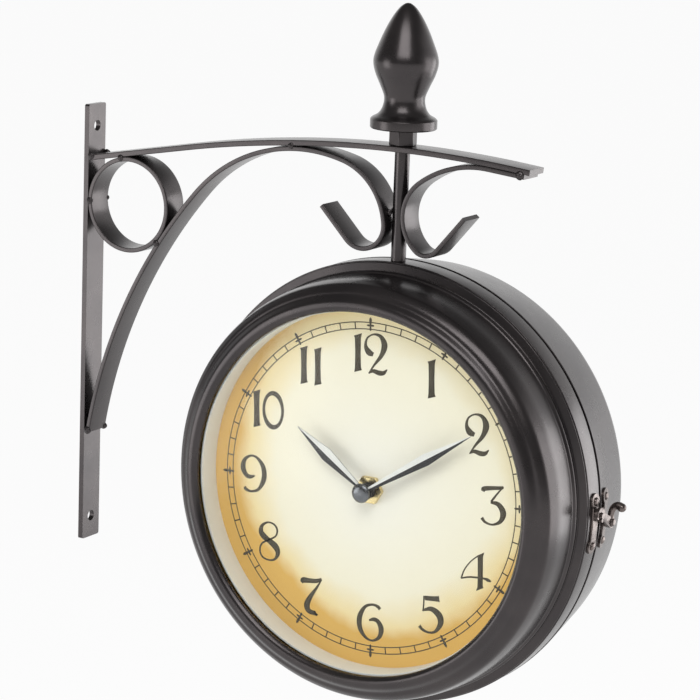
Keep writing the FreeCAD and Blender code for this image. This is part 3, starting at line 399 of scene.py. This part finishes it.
# %% bars
def bend_line(start, heading, steps, per_degree=1.2):
    """Walks straights (0, length) and bends (radius, turn); returns places (x, z) and headings in radians."""
    x, z = start
    angle = math.radians(heading)
    places, angles = [np.array([[x, z]])], [np.array([angle])]
    for radius, turn in steps:
        if radius == 0:
            x, z = x + turn * math.cos(angle), z + turn * math.sin(angle)
            places.append(np.array([[x, z]]))
            angles.append(np.array([angle]))
            continue
        side = math.copysign(1.0, turn)
        cx, cz = x - side * radius * math.sin(angle), z + side * radius * math.cos(angle)
        a = angle + np.linspace(0, math.radians(turn), max(3, int(abs(turn) * per_degree)) + 1)[1:]
        places.append(np.stack([cx + side * radius * np.sin(a), cz - side * radius * np.cos(a)], -1))
        angles.append(a)
        angle = a[-1]
        x, z = places[-1][-1]
    return np.vstack(places), np.concatenate(angles)


def bar(name, places, angles, thick, node, closed=False, width=16.0, edge=0.45):
    """Flat bar: place + n (-sin a, cos a) + y Y, with (n, y) running round a rounded rectangle."""
    h, w = thick / 2, width / 2
    section = rounded(((-h, -w), (h, -w), (h, w), (-h, w)), edge, 4)
    normal = np.stack([-np.sin(angles), np.cos(angles)], -1)
    flat = places[:, None] + section[None, :, :1] * normal[:, None]
    surface = np.stack([flat[..., 0], np.broadcast_to(section[:, 1], flat.shape[:2]), flat[..., 1]], -1)
    rows, columns = surface.shape[:2]
    faces = quads(rows, columns, closed, True).tolist()
    if not closed:
        faces += [list(range(columns)), list(range((rows - 1) * columns, rows * columns))[::-1]]
    piece = make_piece(name, surface, faces, "frame", "black_paint", PAINT, sharp=50, replaces=(node,))
    print(name, "bent from", rows, "sections")
    return piece


# %% the arm
ARM_START, ARM_HEADING, ARM_RADIUS, ARM_TURN = (3.0, 94.9), 10.5, 700.0, -17.05
arm_straight = (197.0 - 129.17 - 3.0) / math.cos(math.radians(ARM_HEADING))
arm_places, arm_angles = bend_line(ARM_START, ARM_HEADING, ((0, arm_straight), (ARM_RADIUS, ARM_TURN)), 4)
bar("arm_bar", arm_places, arm_angles, 3.0, "arm_strip")

# %% the brace, its scroll drawn in shares of its reach from the wall strip to the rod
REACH = 197.0 - 4.0 - 0.3 - 1.25 - 5.0
BENDS = ((1.5715, -31.6), (0.4806, -64.2), (0.1926, -69.4), (0.0697, -141.2))
brace_steps = [(share * REACH, turn) for share, turn in BENDS] + [(0, 0.1207 * REACH)]
trial_places, trial_angles = bend_line((5.0, 0.0), 80.2, brace_steps)
crown_height = trial_places[:, 1].max() + 1.25
cad_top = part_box("brace_scroll")[1].z * 1000
bar("brace_bar", trial_places + (0, cad_top - crown_height), trial_angles, 2.5, "brace_scroll")

# %% the small scroll under the arm's end
arm_ahead = np.array([math.cos(arm_angles[-1]), math.sin(arm_angles[-1])])
tip_start = arm_places[-1] - 2.77 * np.array([-arm_ahead[1], arm_ahead[0]]) - 2.8 * arm_ahead
tip_steps = ((0, 21.2), (56.1, 42.9), (22.9, 101.8), (8.9, 90.7), (0, 24.3))
tip_places, tip_angles = bend_line(tip_start, math.degrees(arm_angles[-1]) + 181.2, tip_steps)
bar("tip_scroll_bar", tip_places, tip_angles, 2.5, "arm_scroll")

# %% the ring in the corner
ring_low, ring_high = (np.array(corner) * 1000 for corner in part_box("bracket_ring"))
ring_turn = np.linspace(0, 2 * math.pi, 120, endpoint=False)
ring_radius = (ring_high[0] - ring_low[0]) / 2 - 1.25
ring_places = np.stack([(ring_low[0] + ring_high[0]) / 2 + ring_radius * np.sin(ring_turn),
                        (ring_low[2] + ring_high[2]) / 2 - ring_radius * np.cos(ring_turn)], -1)
bar("corner_ring", ring_places, ring_turn, 2.5, "bracket_ring", closed=True)

# %% [markdown]
# ## Pieces with corners
# Nuts, plates, leaves and housings keep the shape of their solids. Their meshes come as loose
# triangles, so a copy is merged, flat areas are joined, and a small live bevel rounds the corners.

# %% bevelled copies of solids
def bevelled(node, body, material, width=0.3, segments=2, angle=35.0, cut_beyond=None):
    """Copy of a solid's mesh in metres, merged, flats joined, with a Bevel of that width in millimetres.
    What lies beyond X = cut_beyond is cut off and the cut closed, where a rounder piece takes over."""
    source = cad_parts[node]
    work = bmesh.new()
    work.from_mesh(source.data)
    bmesh.ops.remove_doubles(work, verts=work.verts, dist=1e-6)
    if cut_beyond:
        parts = [*work.verts, *work.edges, *work.faces]
        bmesh.ops.bisect_plane(work, geom=parts, plane_co=(cut_beyond / 1000, 0, 0), plane_no=(1, 0, 0),
                               clear_outer=True)
        bmesh.ops.holes_fill(work, edges=[edge for edge in work.edges if edge.is_boundary])
    bmesh.ops.dissolve_limit(work, angle_limit=math.radians(0.6), verts=work.verts, edges=work.edges)
    mesh = bpy.data.meshes.new(node + "_shape")
    work.to_mesh(mesh)
    work.free()
    piece = dress(bpy.data.objects.new(node + "_piece", mesh), body, material, angle, (node,))
    if width:
        rim = piece.modifiers.new("rim", "BEVEL")
        rim.width = width / 1000
        rim.segments = segments
        rim.limit_method = "ANGLE"
        rim.angle_limit = math.radians(angle)
        rim.harden_normals = False
        rim.miter_outer = "MITER_ARC"
    return piece


# %% strip, nuts, hinge and latch
for node, width in (("wall_strip", 0.45), ("arm_nut", 0.35), ("rod_nut", 0.25)):
    bevelled(node, "frame", PAINT, width)
for node, width in (("hinge_front_leaf", 0.15), ("hinge_pin", 0.2), ("strike_plate", 0.2)):
    bevelled(node, "frame", WORN_AND_SHEEN_PAINT, width)
for node, width in (("hinge_rear_leaf", 0.15), ("hook_plate", 0.2), ("latch_pivot", 0.2)):
    bevelled(node, "rear_cover", WORN_AND_SHEEN_PAINT, width)
bevelled("latch_hook", "latch_hook", WORN_AND_SHEEN_PAINT, 0.3, cut_beyond=321.26)

# %% [markdown]
# ## Finger curl, screw heads and weld beads
# The hook's finger tab is a cast curl: a round bar that swells to a knob. The leaves and plates are
# held by small round headed screws, and the bars by short weld beads at both edges of each joint.
# Each is a small lathe or tube surface; beads are balls with a few waves pressed into them.

# %% curl of the latch
def swelling_tube(name, line, body, material, columns=20):
    """Round tube about a smooth line in a plane of constant Y: place + r (cos t n + sin t Y). Each end is
    a half ball: the last circle moved by r cos u along the line and shrunk by sin u."""
    fine = flowing(line, 8)
    ahead = np.gradient(fine[:, (0, 2)], axis=0)
    ahead /= np.linalg.norm(ahead, axis=1)[:, None]
    t = np.linspace(0, 2 * math.pi, columns, endpoint=False)
    u = np.linspace(0, math.pi / 2, 7)[:-1]
    pick = np.concatenate([np.zeros(len(u), int), np.arange(len(fine)), np.full(len(u), len(fine) - 1)])
    shift = np.concatenate([-np.cos(u), np.zeros(len(fine)), np.cos(u[::-1])])[:, None]
    share = np.concatenate([np.sin(u), np.ones(len(fine)), np.sin(u[::-1])])[:, None]
    place, way = fine[pick], ahead[pick]
    radius = place[:, 3:] * share
    centre = place[:, (0, 2)] + way * shift * place[:, 3:]
    across = np.stack([-way[:, 1], way[:, 0]], -1)
    flat = centre[:, None] + (np.cos(t) * radius)[..., None] * across[:, None]
    surface = np.stack([flat[..., 0], place[:, 1:2] + np.sin(t) * radius, flat[..., 1]], -1)
    return make_piece(name, surface, quads(*surface.shape[:2], False, True), body, "black_paint", material)


swelling_tube("finger_curl", ((320.5, 15.2, -65.6, 1.5), (320.4, 15.2, -61.6, 1.7), (321.6, 15.2, -58.4, 1.9),
                              (324.0, 15.2, -56.9, 2.1), (326.2, 15.2, -57.6, 2.4)), "latch_hook", WORN_AND_SHEEN_PAINT)


# %% screw heads
def screw_head(name, place, way, radius, height, body):
    """A low dome: r = R cos u, h = H sin u, with a turned flat foot sunk a little into the metal."""
    u = np.linspace(0, math.pi / 2, 7)
    outline = np.vstack([[(0, -0.3), (radius, -0.3)], np.stack([radius * np.cos(u), height * np.sin(u)], -1)])
    way = np.array(way, float)
    side = np.cross(way, (0, 1, 0)) if abs(way[1]) < 0.9 else np.array([1.0, 0, 0])
    surface = lathe(outline, place, way, side / np.linalg.norm(side), 20)
    return make_piece(name, surface, quads(*surface.shape[:2], True, True), body, "steel", WORN_AND_SHEEN_PAINT)


for side, body in BODY.items():
    word = WORDS[side]
    for end, lean in (("low", -1), ("high", 1)):
        turn = math.radians(180 + 4.44 * lean)
        out = np.array([math.cos(turn), 0.0, math.sin(turn)])
        radius = 121.45 if side == FRONT else 120.4
        screw_head(f"{word}_hinge_screw_{end}", HUB + out * radius + (0, side * 7.4, 0), out, 1.9, 0.9, body)
        turn = math.asin((-3.5 + 11.9 * lean) / 120)
        out = np.array([math.cos(turn), 0.0, math.sin(turn)])
        screw_head(f"{word}_latch_screw_{end}", HUB + out * radius + (0, side * 7.0, 0), out, 2.2, 1.0, body)


# %% weld beads
def weld_bead(name, x, z, y, size):
    """Ball of radius R (1 + 0.1 sin 3t sin 2u), flattened a little along the bar's edge."""
    u, t = np.linspace(0, math.pi, 13)[:, None], np.linspace(0, 2 * math.pi, 20, endpoint=False)[None]
    radius = size * (1 + 0.10 * np.sin(3 * t + x) * np.sin(2 * u + z))
    ball = np.stack([x + radius * np.sin(u) * np.cos(t), y + 0.55 * radius * np.cos(u) * np.ones_like(t),
                     z + radius * np.sin(u) * np.sin(t)], -1)
    return make_piece(name, ball, quads(13, 20, False, True), "frame", "black_paint", PAINT, sharp=80)


BEADS = ((4.6, 96.2, 1.7), (4.2, 71.0, 1.6), (5.2, -60.3, 1.8), (24.4, 97.0, 1.5), (133.6, 114.4, 1.4),
         (49.0, 52.0, 1.5), (269.6, 112.4, 1.9), (192.4, 84.5, 1.5), (201.4, 84.5, 1.5))
for number, (x, z, size) in enumerate(BEADS):
    across = 4.0 if 190 < x < 205 else 7.9
    weld_bead(f"weld_bead_front_{number}", x, z, -across, 1.25 * size)
    weld_bead(f"weld_bead_rear_{number}", x, z, across, 1.25 * size)
print("weld beads:", 2 * len(BEADS))

# %% [markdown]
# ## Rod and finial
# The rod is plain round steel under paint. The finial is turned: a base disc, a hollow cone up to a
# neck, a swelling bud and a small knob. A smooth line through a few radii gives the turner's curve.

# %% rod and finial
rod_low, rod_high = (np.array(corner) * 1000 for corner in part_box("hanger_rod"))
rod_outline = rounded(((0, rod_low[2]), (2.5, rod_low[2]), (2.5, 58.82), (4.0, 58.82), (4.0, rod_high[2]),
                       (0, rod_high[2])), (0, 0.3, 0.1, 0.3, 0.8, 0))
turned_piece("rod_turned", rod_outline, (197.0, 0, 0), (0, 0, 1), (1, 0, 0), 48, "frame",
             "black_paint", PAINT, replaces=("hanger_rod",))

finial_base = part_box("finial")[0].z * 1000
base_line = rounded(((0, 0), (17.0, 0), (17.6, 0.6), (17.6, 5.0), (16.6, 5.9)), (0, 0.2, 0.2, 0.4, 0.2))[:-6]
bud_line = flowing(((16.6, 5.9), (13.4, 7.9), (11.3, 11.6), (10.8, 16.6), (13.2, 22.8), (15.6, 28.2),
                    (17.0, 33.6), (16.6, 38.2), (14.2, 44.8), (11.4, 51.4), (8.0, 57.8), (4.6, 62.6),
                    (1.8, 64.9), (0.0, 65.4)))
turned_piece("finial_turned", np.vstack([base_line, bud_line]), (197.0, 0, finial_base), (0, 0, 1),
             (1, 0, 0), 96, "frame", "black_paint", PAINT, replaces=("finial",))

# %% [markdown]
# ## Printing on the dial
# A double ring with a tick for each minute, a small four pointed star at each hour, and upright
# numerals drawn with a brush that swells and thins. A stroke is a smooth line of places that also
# carries half the brush width; its two edges are the line set off to both sides. Straight stems are
# plain outlines with slanted ends. All ink is a film a few hundredths of a millimetre thick.

# %% strokes of the numerals: across, up and half width in millimetres, about the numeral's middle
STEM = ((-2.2, -10.6), (0.1, -9.9), (2.4, -9.2), (1.85, -7.8), (1.65, 0), (1.85, 7.9), (2.4, 10.6),
        (0.0, 9.7), (-2.4, 8.9), (-1.85, 7.7), (-1.65, 0), (-1.85, -8.2))
STROKES = {
    "2": (
        ((-1.4, -0.2, 1.1), (-4.3, 1.0, 1.75), (-6.0, 4.3, 0.95), (-4.9, 8.4, 0.5), (-0.9, 10.6, 0.5),
         (3.2, 9.6, 1.1), (5.3, 5.3, 1.8), (3.5, -0.2, 1.2), (-0.9, -5.8, 0.6), (-3.8, -10.0, 0.4)),
        ((-4.3, -10.5, 0.3), (-1.6, -9.0, 0.95), (2.0, -9.7, 1.35), (4.8, -9.4, 1.1),
         (7.0, -7.4, 0.25)),
    ),
    "3": (
        ((-6.0, 6.9, 1.0), (-5.3, 8.4, 1.25), (-0.2, 9.3, 1.05), (4.6, 9.9, 0.9), (5.9, 10.6, 0.5)),
        ((5.2, 9.9, 0.35), (2.2, 6.4, 0.5), (-1.2, 2.0, 0.6)),
        ((-1.5, 1.6, 0.6), (2.9, 1.0, 1.3), (5.8, -3.1, 1.75), (4.3, -7.8, 1.1), (-0.2, -10.1, 0.55),
         (-4.5, -9.3, 0.7), (-6.6, -7.2, 1.0)),
    ),
    "4": (
        ((1.2, 8.6, 0.35), (-3.1, 5.0, 0.33), (-6.7, 0.2, 0.38), (-8.6, -4.7, 0.45)),
        ((-8.8, -4.7, 0.4), (-4.3, -3.5, 0.48), (0.2, -3.1, 0.5), (4.7, -3.1, 0.55), (7.0, -3.6, 0.9),
         (9.0, -4.2, 0.35)),
    ),
    "5": (
        ((-3.4, 8.3, 1.25), (0.5, 8.5, 1.3), (4.4, 8.8, 1.5), (5.2, 8.9, 1.9)),
        ((-3.9, 9.4, 0.5), (-4.1, 5.0, 0.42), (-4.5, 0.9, 0.5)),
        ((-4.5, 1.5, 0.5), (0.6, 2.8, 1.35), (5.1, 0.0, 1.9), (6.0, -4.3, 1.6), (3.0, -9.0, 0.8),
         (-0.9, -10.2, 0.6), (-4.8, -9.1, 0.8), (-6.7, -7.3, 1.0)),
    ),
    "6": (
        ((5.9, 8.0, 1.0), (4.4, 9.3, 0.9), (1.1, 9.9, 0.65), (-3.4, 8.0, 0.9), (-6.6, 2.1, 1.5),
         (-6.3, -4.2, 1.4), (-2.8, -8.8, 0.8), (1.4, -9.9, 0.6), (5.4, -7.4, 1.1), (6.6, -2.8, 1.6),
         (4.8, 0.9, 1.3), (2.2, 1.9, 1.1), (-0.8, 1.0, 0.45)),
    ),
    "7": (
        ((-6.3, 6.4, 0.9), (-5.1, 7.9, 1.6), (-1.3, 8.1, 1.3), (3.1, 8.5, 1.15), (6.3, 9.9, 0.7)),
        ((6.1, 9.4, 0.4), (3.1, 4.6, 0.7), (-0.8, -0.8, 1.3), (-3.0, -5.5, 1.8), (-1.9, -8.8, 1.5),
         (2.0, -9.7, 1.2), (2.6, -9.6, 1.6)),
    ),
    "8": (
        ((-0.8, 0.8, 1.5), (3.9, -2.4, 1.9), (5.4, -5.9, 1.4), (3.6, -9.4, 0.7), (0.0, -10.5, 0.5),
         (-4.3, -9.3, 0.5), (-6.0, -5.7, 0.5), (-4.6, -1.7, 0.5), (0.0, 0.9, 0.5), (4.1, 3.4, 0.5),
         (5.1, 6.9, 0.6), (3.2, 9.7, 0.55), (-0.6, 10.5, 0.5), (-4.3, 8.4, 0.9), (-5.2, 4.9, 1.5),
         (-3.4, 2.4, 1.8), (-0.8, 0.8, 1.5)),
    ),
}
FOUR_STEM = ((0.2, -10.4), (2.2, -9.4), (4.5, -8.2), (4.1, -7.2), (4.1, 0), (4.1, 8.4), (4.9, 10.9),
             (2.8, 9.8), (0.7, 8.7), (1.0, 7.6), (1.1, 0), (1.0, -8.2))
NUMERALS = {1: (("1", 0),), 2: (("2", 0),), 3: (("3", 0),), 4: (("4", 0),), 5: (("5", 0),), 6: (("6", 0),),
            7: (("7", 0),), 8: (("8", 0),), 9: (("9", 0),), 10: (("1", -7.4), ("0", 3.0)),
            11: (("1", -4.3), ("1", 4.3)), 12: (("1", -7.6), ("2", 3.1))}


# %% brush strokes
def ribbon(line, per=9):
    """Two edges of a stroke: place + and - half width times (-dy, dx), the unit square to the line."""
    fine = flowing(line, per)
    ahead = np.gradient(fine[:, :2], axis=0)
    ahead /= np.linalg.norm(ahead, axis=1)[:, None]
    square = np.stack([-ahead[:, 1], ahead[:, 0]], -1) * fine[:, 2:]
    return np.stack([fine[:, :2] + square, fine[:, :2] - square], 1)


def glyph(sign):
    """Flat patches of one numeral: each is (points, faces), with 9 as 6 turned half round."""
    if sign == "1":
        return [(np.array(STEM), [list(range(len(STEM)))])]
    if sign == "0":
        t = np.linspace(0, 2 * math.pi, 73)
        oval = np.stack([5.9 * np.sin(t), 9.3 * np.cos(t), 0.85 + 0.5 * np.abs(np.cos(t - 0.35)) ** 3], -1)
        lines, flip = [oval], 1
    else:
        lines, flip = STROKES["6" if sign == "9" else sign], -1 if sign == "9" else 1
    patches = []
    for line in lines:
        edges = ribbon(line, 1 if sign == "0" else 9) * flip
        patches.append((edges.reshape(-1, 2), quads(len(edges), 2, False, False).tolist()))
    if sign == "4":
        patches.append((np.array(FOUR_STEM), [list(range(len(FOUR_STEM)))]))
    return patches


# %% ring, ticks, stars and all numerals as flat patches
RING_RADII, LINE_HALF, TICK_HALF, STAR_RADIUS, NUMERAL_RADIUS = (86.0, 89.6), 0.27, 0.33, 88.0, 72.9


def print_patches():
    """All ink of one dial as (points, faces): ring lines, ticks, stars and numerals, seen from its front."""
    patches = []
    t = np.linspace(0, 2 * math.pi, 361)[:-1]
    for radius in RING_RADII:
        edge = np.array([radius - LINE_HALF, radius + LINE_HALF])
        band = np.stack([edge * np.sin(t)[:, None], edge * np.cos(t)[:, None]], -1)
        patches.append((band.reshape(-1, 2), quads(360, 2, True, False).tolist()))
    minute = np.radians(6 * np.arange(60))
    out = np.stack([np.sin(minute), np.cos(minute)], -1)[:, None]
    along = np.stack([np.cos(minute), -np.sin(minute)], -1)[:, None]
    inner, outer = RING_RADII
    corner = np.array([(inner, -TICK_HALF), (inner, TICK_HALF), (outer, TICK_HALF), (outer, -TICK_HALF)])
    ticks = out * corner[None, :, :1] + along * corner[None, :, 1:]
    patches.append((ticks.reshape(-1, 2), np.arange(240).reshape(-1, 4).tolist()))
    turn = np.linspace(0, 2 * math.pi, 33)[:-1]
    tip = np.where(np.cos(turn) > 0.7071, 3.6, np.where(np.cos(turn) < -0.7071, 2.2, 1.5))
    point = np.abs(np.cos(2 * turn)) ** 3 * tip + 0.8
    star = np.stack([STAR_RADIUS + point * np.cos(turn), point * np.sin(turn)], -1)
    stars = out[::5] * star[None, :, :1] + along[::5] * star[None, :, 1:]
    patches.append((stars.reshape(-1, 2), np.arange(384).reshape(-1, 32).tolist()))
    for hour, signs in NUMERALS.items():
        clock_angle = math.radians(30 * hour)
        middle = NUMERAL_RADIUS * np.array([math.sin(clock_angle), math.cos(clock_angle)])
        for sign, shift in signs:
            patches += [(points + middle + (shift, 0), faces) for points, faces in glyph(sign)]
    return patches


# %% ink on both dials
PRINT_LEAN = math.radians(2.4)


def print_dial(side):
    """The patches on the dial, each a hair above the last so that crossing strokes never share a plane.
    The whole print is turned a little against the hands, as the paper in the photograph is."""
    points, faces, count = [], [], 0
    for k, (flat, patch_faces) in enumerate(print_patches()):
        flat = flat @ np.array([[math.cos(PRINT_LEAN), math.sin(PRINT_LEAN)],
                                [-math.sin(PRINT_LEAN), math.cos(PRINT_LEAN)]])
        depth = DIAL_FACE + 0.04 + 0.004 * (k % 6)
        points.append(np.stack([HUB[0] - side * flat[:, 0], np.full(len(flat), HUB[1] + side * depth),
                                HUB[2] + flat[:, 1]], -1))
        faces += [[i + count for i in face] for face in patch_faces]
        count += len(flat)
    name = WORDS[side] + "_numerals"
    piece = make_piece(name, np.vstack(points), faces, BODY[side], "dial_print", INK)
    work = bmesh.new()
    work.from_mesh(piece.data)
    work.normal_update()
    bmesh.ops.reverse_faces(work, faces=[f for f in work.faces if f.normal.y * side < 0])
    work.to_mesh(piece.data)
    work.free()
    film = piece.modifiers.new("film", "SOLIDIFY")
    film.thickness = 0.00002
    film.offset = 1
    print(name, "has", len(piece.data.polygons), "ink faces")


for side in WORDS:
    print_dial(side)

# %% [markdown]
# ## Hands, nut and movement
# The hands are stamped lances with a ridge. Their colour carries painted light: the side that leans up is
# painted pale as a painted highlight and the other is painted dark as painted shade. Each is one mesh with
# these lit and shaded copies of one paint, chosen face by face from the way the face looks. A small metal
# dome caps them. The movements keep the shape of their solids, with plain plastic, brass and copper.

# %% hands
def two_sided_hand(node, body, side):
    """The solid's own mesh; outer faces whose normal leans up get the pale painted highlight, all others the
    dark painted shade.
    """
    piece = bevelled(node, body, HAND_PAINTED_SHADE, width=0, angle=4)
    piece.data.materials.append(HAND_PAINTED_HIGHLIGHT)
    normals = np.empty(len(piece.data.polygons) * 3)
    piece.data.polygons.foreach_get("normal", normals)
    normals = normals.reshape(-1, 3)
    # painted light: faces turned up and outward are painted pale as if lit, all the rest dark as if shaded
    pale = (normals[:, 2] > 0.02) & (normals[:, 1] * side > 0.5)
    piece.data.polygons.foreach_set("material_index", pale.astype(np.int32))
    print(node, "pale faces:", int(pale.sum()), "of", len(pale))
    return piece


CAP_LOW = 38.35
CAP_OUTLINE = np.vstack([[(0, CAP_LOW), (4.7, CAP_LOW)],
                         flowing(((4.9, CAP_LOW + 0.1), (5.3, CAP_LOW + 0.8), (4.9, CAP_LOW + 1.7),
                                  (3.5, CAP_LOW + 2.5), (1.8, CAP_LOW + 2.8), (0, CAP_LOW + 2.85)))])
for side, word in WORDS.items():
    two_sided_hand(word + "_minute_hand", word + "_minute", side)
    two_sided_hand(word + "_hour_hand", word + "_hour", side)
    turned_piece(word + "_cap_dome", CAP_OUTLINE, HUB, (0, side, 0), (1, 0, 0), 64, word + "_minute",
                 "hand_paint", CAP_METAL, replaces=(word + "_hand_cap",))
    bevelled(word + "_fixing_nut", BODY[side], BRASS, 0.25)
    bevelled(word + "_movement_case", BODY[side], BLACK_PLASTIC, 0.3)
    bevelled(word + "_movement_lid", BODY[side], BLACK_PLASTIC, 0.2)
    bevelled(word + "_contacts", BODY[side], STEEL, 0)
    bevelled(word + "_battery", BODY[side], BATTERY, 0.4)
    bevelled(word + "_motor", BODY[side], COPPER, 0.2)
    bevelled(word + "_dial_clips", BODY[side], STEEL, 0.2)
    bevelled(word + "_minute_wheel", word + "_minute", WHITE_PLASTIC, 0)
    bevelled(word + "_hour_wheel", word + "_hour", WHITE_PLASTIC, 0)
    bevelled(word + "_set_wheel", word + "_set", WHITE_PLASTIC, 0)

# %% [markdown]
# ## Stage, light and camera
# A pale floor lies far below in a white surround. Two softboxes behind on the right draw the long
# gleam along the case, one high in front lights the dial, and another stands at the left. The
# camera stands at the photograph's angle, 30 degrees round and 12 up, turned 2 degrees about its axis.

# %% surround
def ease(nodes, links, value, start, end):
    """Smooth 0 to 1 as the value runs from start to end."""
    node = nodes.new("ShaderNodeMapRange")
    node.interpolation_type = "SMOOTHSTEP"
    node.inputs["From Min"].default_value = start
    node.inputs["From Max"].default_value = end
    links.new(value, node.inputs["Value"])
    return node.outputs["Result"]


def white_surround():
    """Camera and pane see plain white. Metal sees the white backdrop behind and below, and a dim room
    in front and overhead, as in a studio with one paper sweep. Diffuse light is even."""
    world = bpy.data.worlds.new("studio")
    bpy.context.scene.world = world
    world.use_nodes = True
    nodes, links = world.node_tree.nodes, world.node_tree.links
    path = nodes.new("ShaderNodeLightPath")
    background = nodes["Background"]
    background.inputs["Color"].default_value = (1.0, 1.0, 1.0, 1.0)
    coords = nodes.new("ShaderNodeTexCoord")
    split = nodes.new("ShaderNodeSeparateXYZ")
    links.new(coords.outputs["Generated"], split.inputs["Vector"])
    behind = ease(nodes, links, split.outputs["Y"], -0.25, 0.35)
    low = ease(nodes, links, split.outputs["Z"], 0.62, 0.30)
    paper = math_node(nodes, links, "MULTIPLY", behind, low)
    room = math_node(nodes, links, "MULTIPLY_ADD", paper, 0.84, 0.16)
    seen = math_node(nodes, links, "MAXIMUM", path.outputs["Is Camera Ray"],
                     path.outputs["Is Transmission Ray"])
    mirrored = math_node(nodes, links, "MULTIPLY", path.outputs["Is Glossy Ray"], room)
    shown = math_node(nodes, links, "MAXIMUM", seen, mirrored)
    looked_at = math_node(nodes, links, "MAXIMUM", seen, path.outputs["Is Glossy Ray"])
    even = math_node(nodes, links, "MULTIPLY", math_node(nodes, links, "SUBTRACT", 1.0, looked_at), 0.62)
    links.new(math_node(nodes, links, "ADD", shown, even), background.inputs["Strength"])


# %% floor
def pale_floor(height):
    """A wide disc whose look to the camera is mostly plain white, so that only a soft shadow shows."""
    material = bpy.data.materials.new("white_floor")
    material.use_nodes = True
    nodes, links = material.node_tree.nodes, material.node_tree.links
    shader = nodes["Principled BSDF"]
    shader.inputs["Base Color"].default_value = (0.97, 0.97, 0.97, 1.0)
    shader.inputs["Roughness"].default_value = 0.9
    glow = nodes.new("ShaderNodeEmission")
    glow.inputs["Color"].default_value = (1.0, 1.0, 1.0, 1.0)
    path = nodes.new("ShaderNodeLightPath")
    seen = math_node(nodes, links, "MAXIMUM", path.outputs["Is Camera Ray"],
                     path.outputs["Is Transmission Ray"])
    either = math_node(nodes, links, "MAXIMUM", seen, path.outputs["Is Glossy Ray"])
    share = math_node(nodes, links, "MULTIPLY", either, 0.9)
    mix = nodes.new("ShaderNodeMixShader")
    links.new(share, mix.inputs["Fac"])
    links.new(shader.outputs["BSDF"], mix.inputs[1])
    links.new(glow.outputs["Emission"], mix.inputs[2])
    links.new(mix.outputs["Shader"], nodes["Material Output"].inputs["Surface"])
    mesh = bpy.data.meshes.new("floor")
    t = np.linspace(0, 2 * math.pi, 96, endpoint=False)
    rim = np.stack([0.2 + 14 * np.cos(t), 14 * np.sin(t), np.full(96, height)], -1)
    mesh.from_pydata(rim.tolist(), [], [list(range(96))])
    floor = bpy.data.objects.new("floor", mesh)
    bpy.context.scene.collection.objects.link(floor)
    mesh.materials.append(material)
    return floor


white_surround()
pale_floor(-0.62)

# %% placing camera and lamps
def placed(right, up, back, place):
    """A 4 x 4 matrix with these three directions as its columns and the place as its last."""
    columns = np.vstack([right, up, back, place]).T
    return Matrix([*columns.tolist(), [0.0, 0.0, 0.0, 1.0]])


# %% camera
TARGET = np.array([0.1707, 0.0, 0.0082])
AZIMUTH, ELEVATION, ROLL, DISTANCE = (math.radians(29.62), math.radians(11.77), math.radians(2.08), 1.495)
away = np.array([math.cos(ELEVATION) * math.sin(AZIMUTH), -math.cos(ELEVATION) * math.cos(AZIMUTH),
                 math.sin(ELEVATION)])
level_right = np.array([math.cos(AZIMUTH), math.sin(AZIMUTH), 0.0])
level_up = np.cross(away, level_right)
cam_right = level_right * math.cos(ROLL) + level_up * math.sin(ROLL)
cam_up = level_up * math.cos(ROLL) - level_right * math.sin(ROLL)
camera = bpy.data.objects.new("camera", bpy.data.cameras.new("camera"))
bpy.context.scene.collection.objects.link(camera)
camera.matrix_world = placed(cam_right, cam_up, away, TARGET + away * DISTANCE)
camera.data.lens = 143.76
camera.data.sensor_width = 36.0
camera.data.shift_x = -0.0023
camera.data.shift_y = -0.0026
camera.data.clip_start = 0.05
bpy.context.scene.camera = camera

# %% [markdown]
# A softbox is a rectangle that shines evenly. Its power follows from how bright it should look, so
# its size can change without changing that brightness.

# %% lamps
def softbox(name, place, aim, size, radiance):
    """A rectangle of even light. Power is pi times area times radiance."""
    lamp = bpy.data.lights.new(name, "AREA")
    lamp.shape = "RECTANGLE"
    lamp.size, lamp.size_y = size
    lamp.energy = math.pi * size[0] * size[1] * radiance
    holder = bpy.data.objects.new(name, lamp)
    bpy.context.scene.collection.objects.link(holder)
    place, aim = np.array(place, float), np.array(aim, float)
    back = (place - aim) / np.linalg.norm(place - aim)
    side = np.cross((0, 0, 1), back)
    side = side / np.linalg.norm(side)
    top = np.cross(back, side)
    holder.matrix_world = placed(side, top, back, place)
    print(name, "stands at", np.round(place, 2).tolist())


AIM = (0.197, 0.0, -0.05)
softbox("right_softbox", (1.65, 0.72, -0.15), AIM, (0.8, 1.5), 2.2)
softbox("rim_softbox", (1.20, 1.45, -0.25), AIM, (0.7, 1.3), 3.2)
softbox("front_softbox", (0.75, -1.55, 1.45), AIM, (1.5, 1.0), 4.0)
softbox("left_softbox", (-1.25, -1.55, -0.1), AIM, (0.9, 1.2), 2.4)
bpy.context.scene.view_settings.view_transform = "Standard"
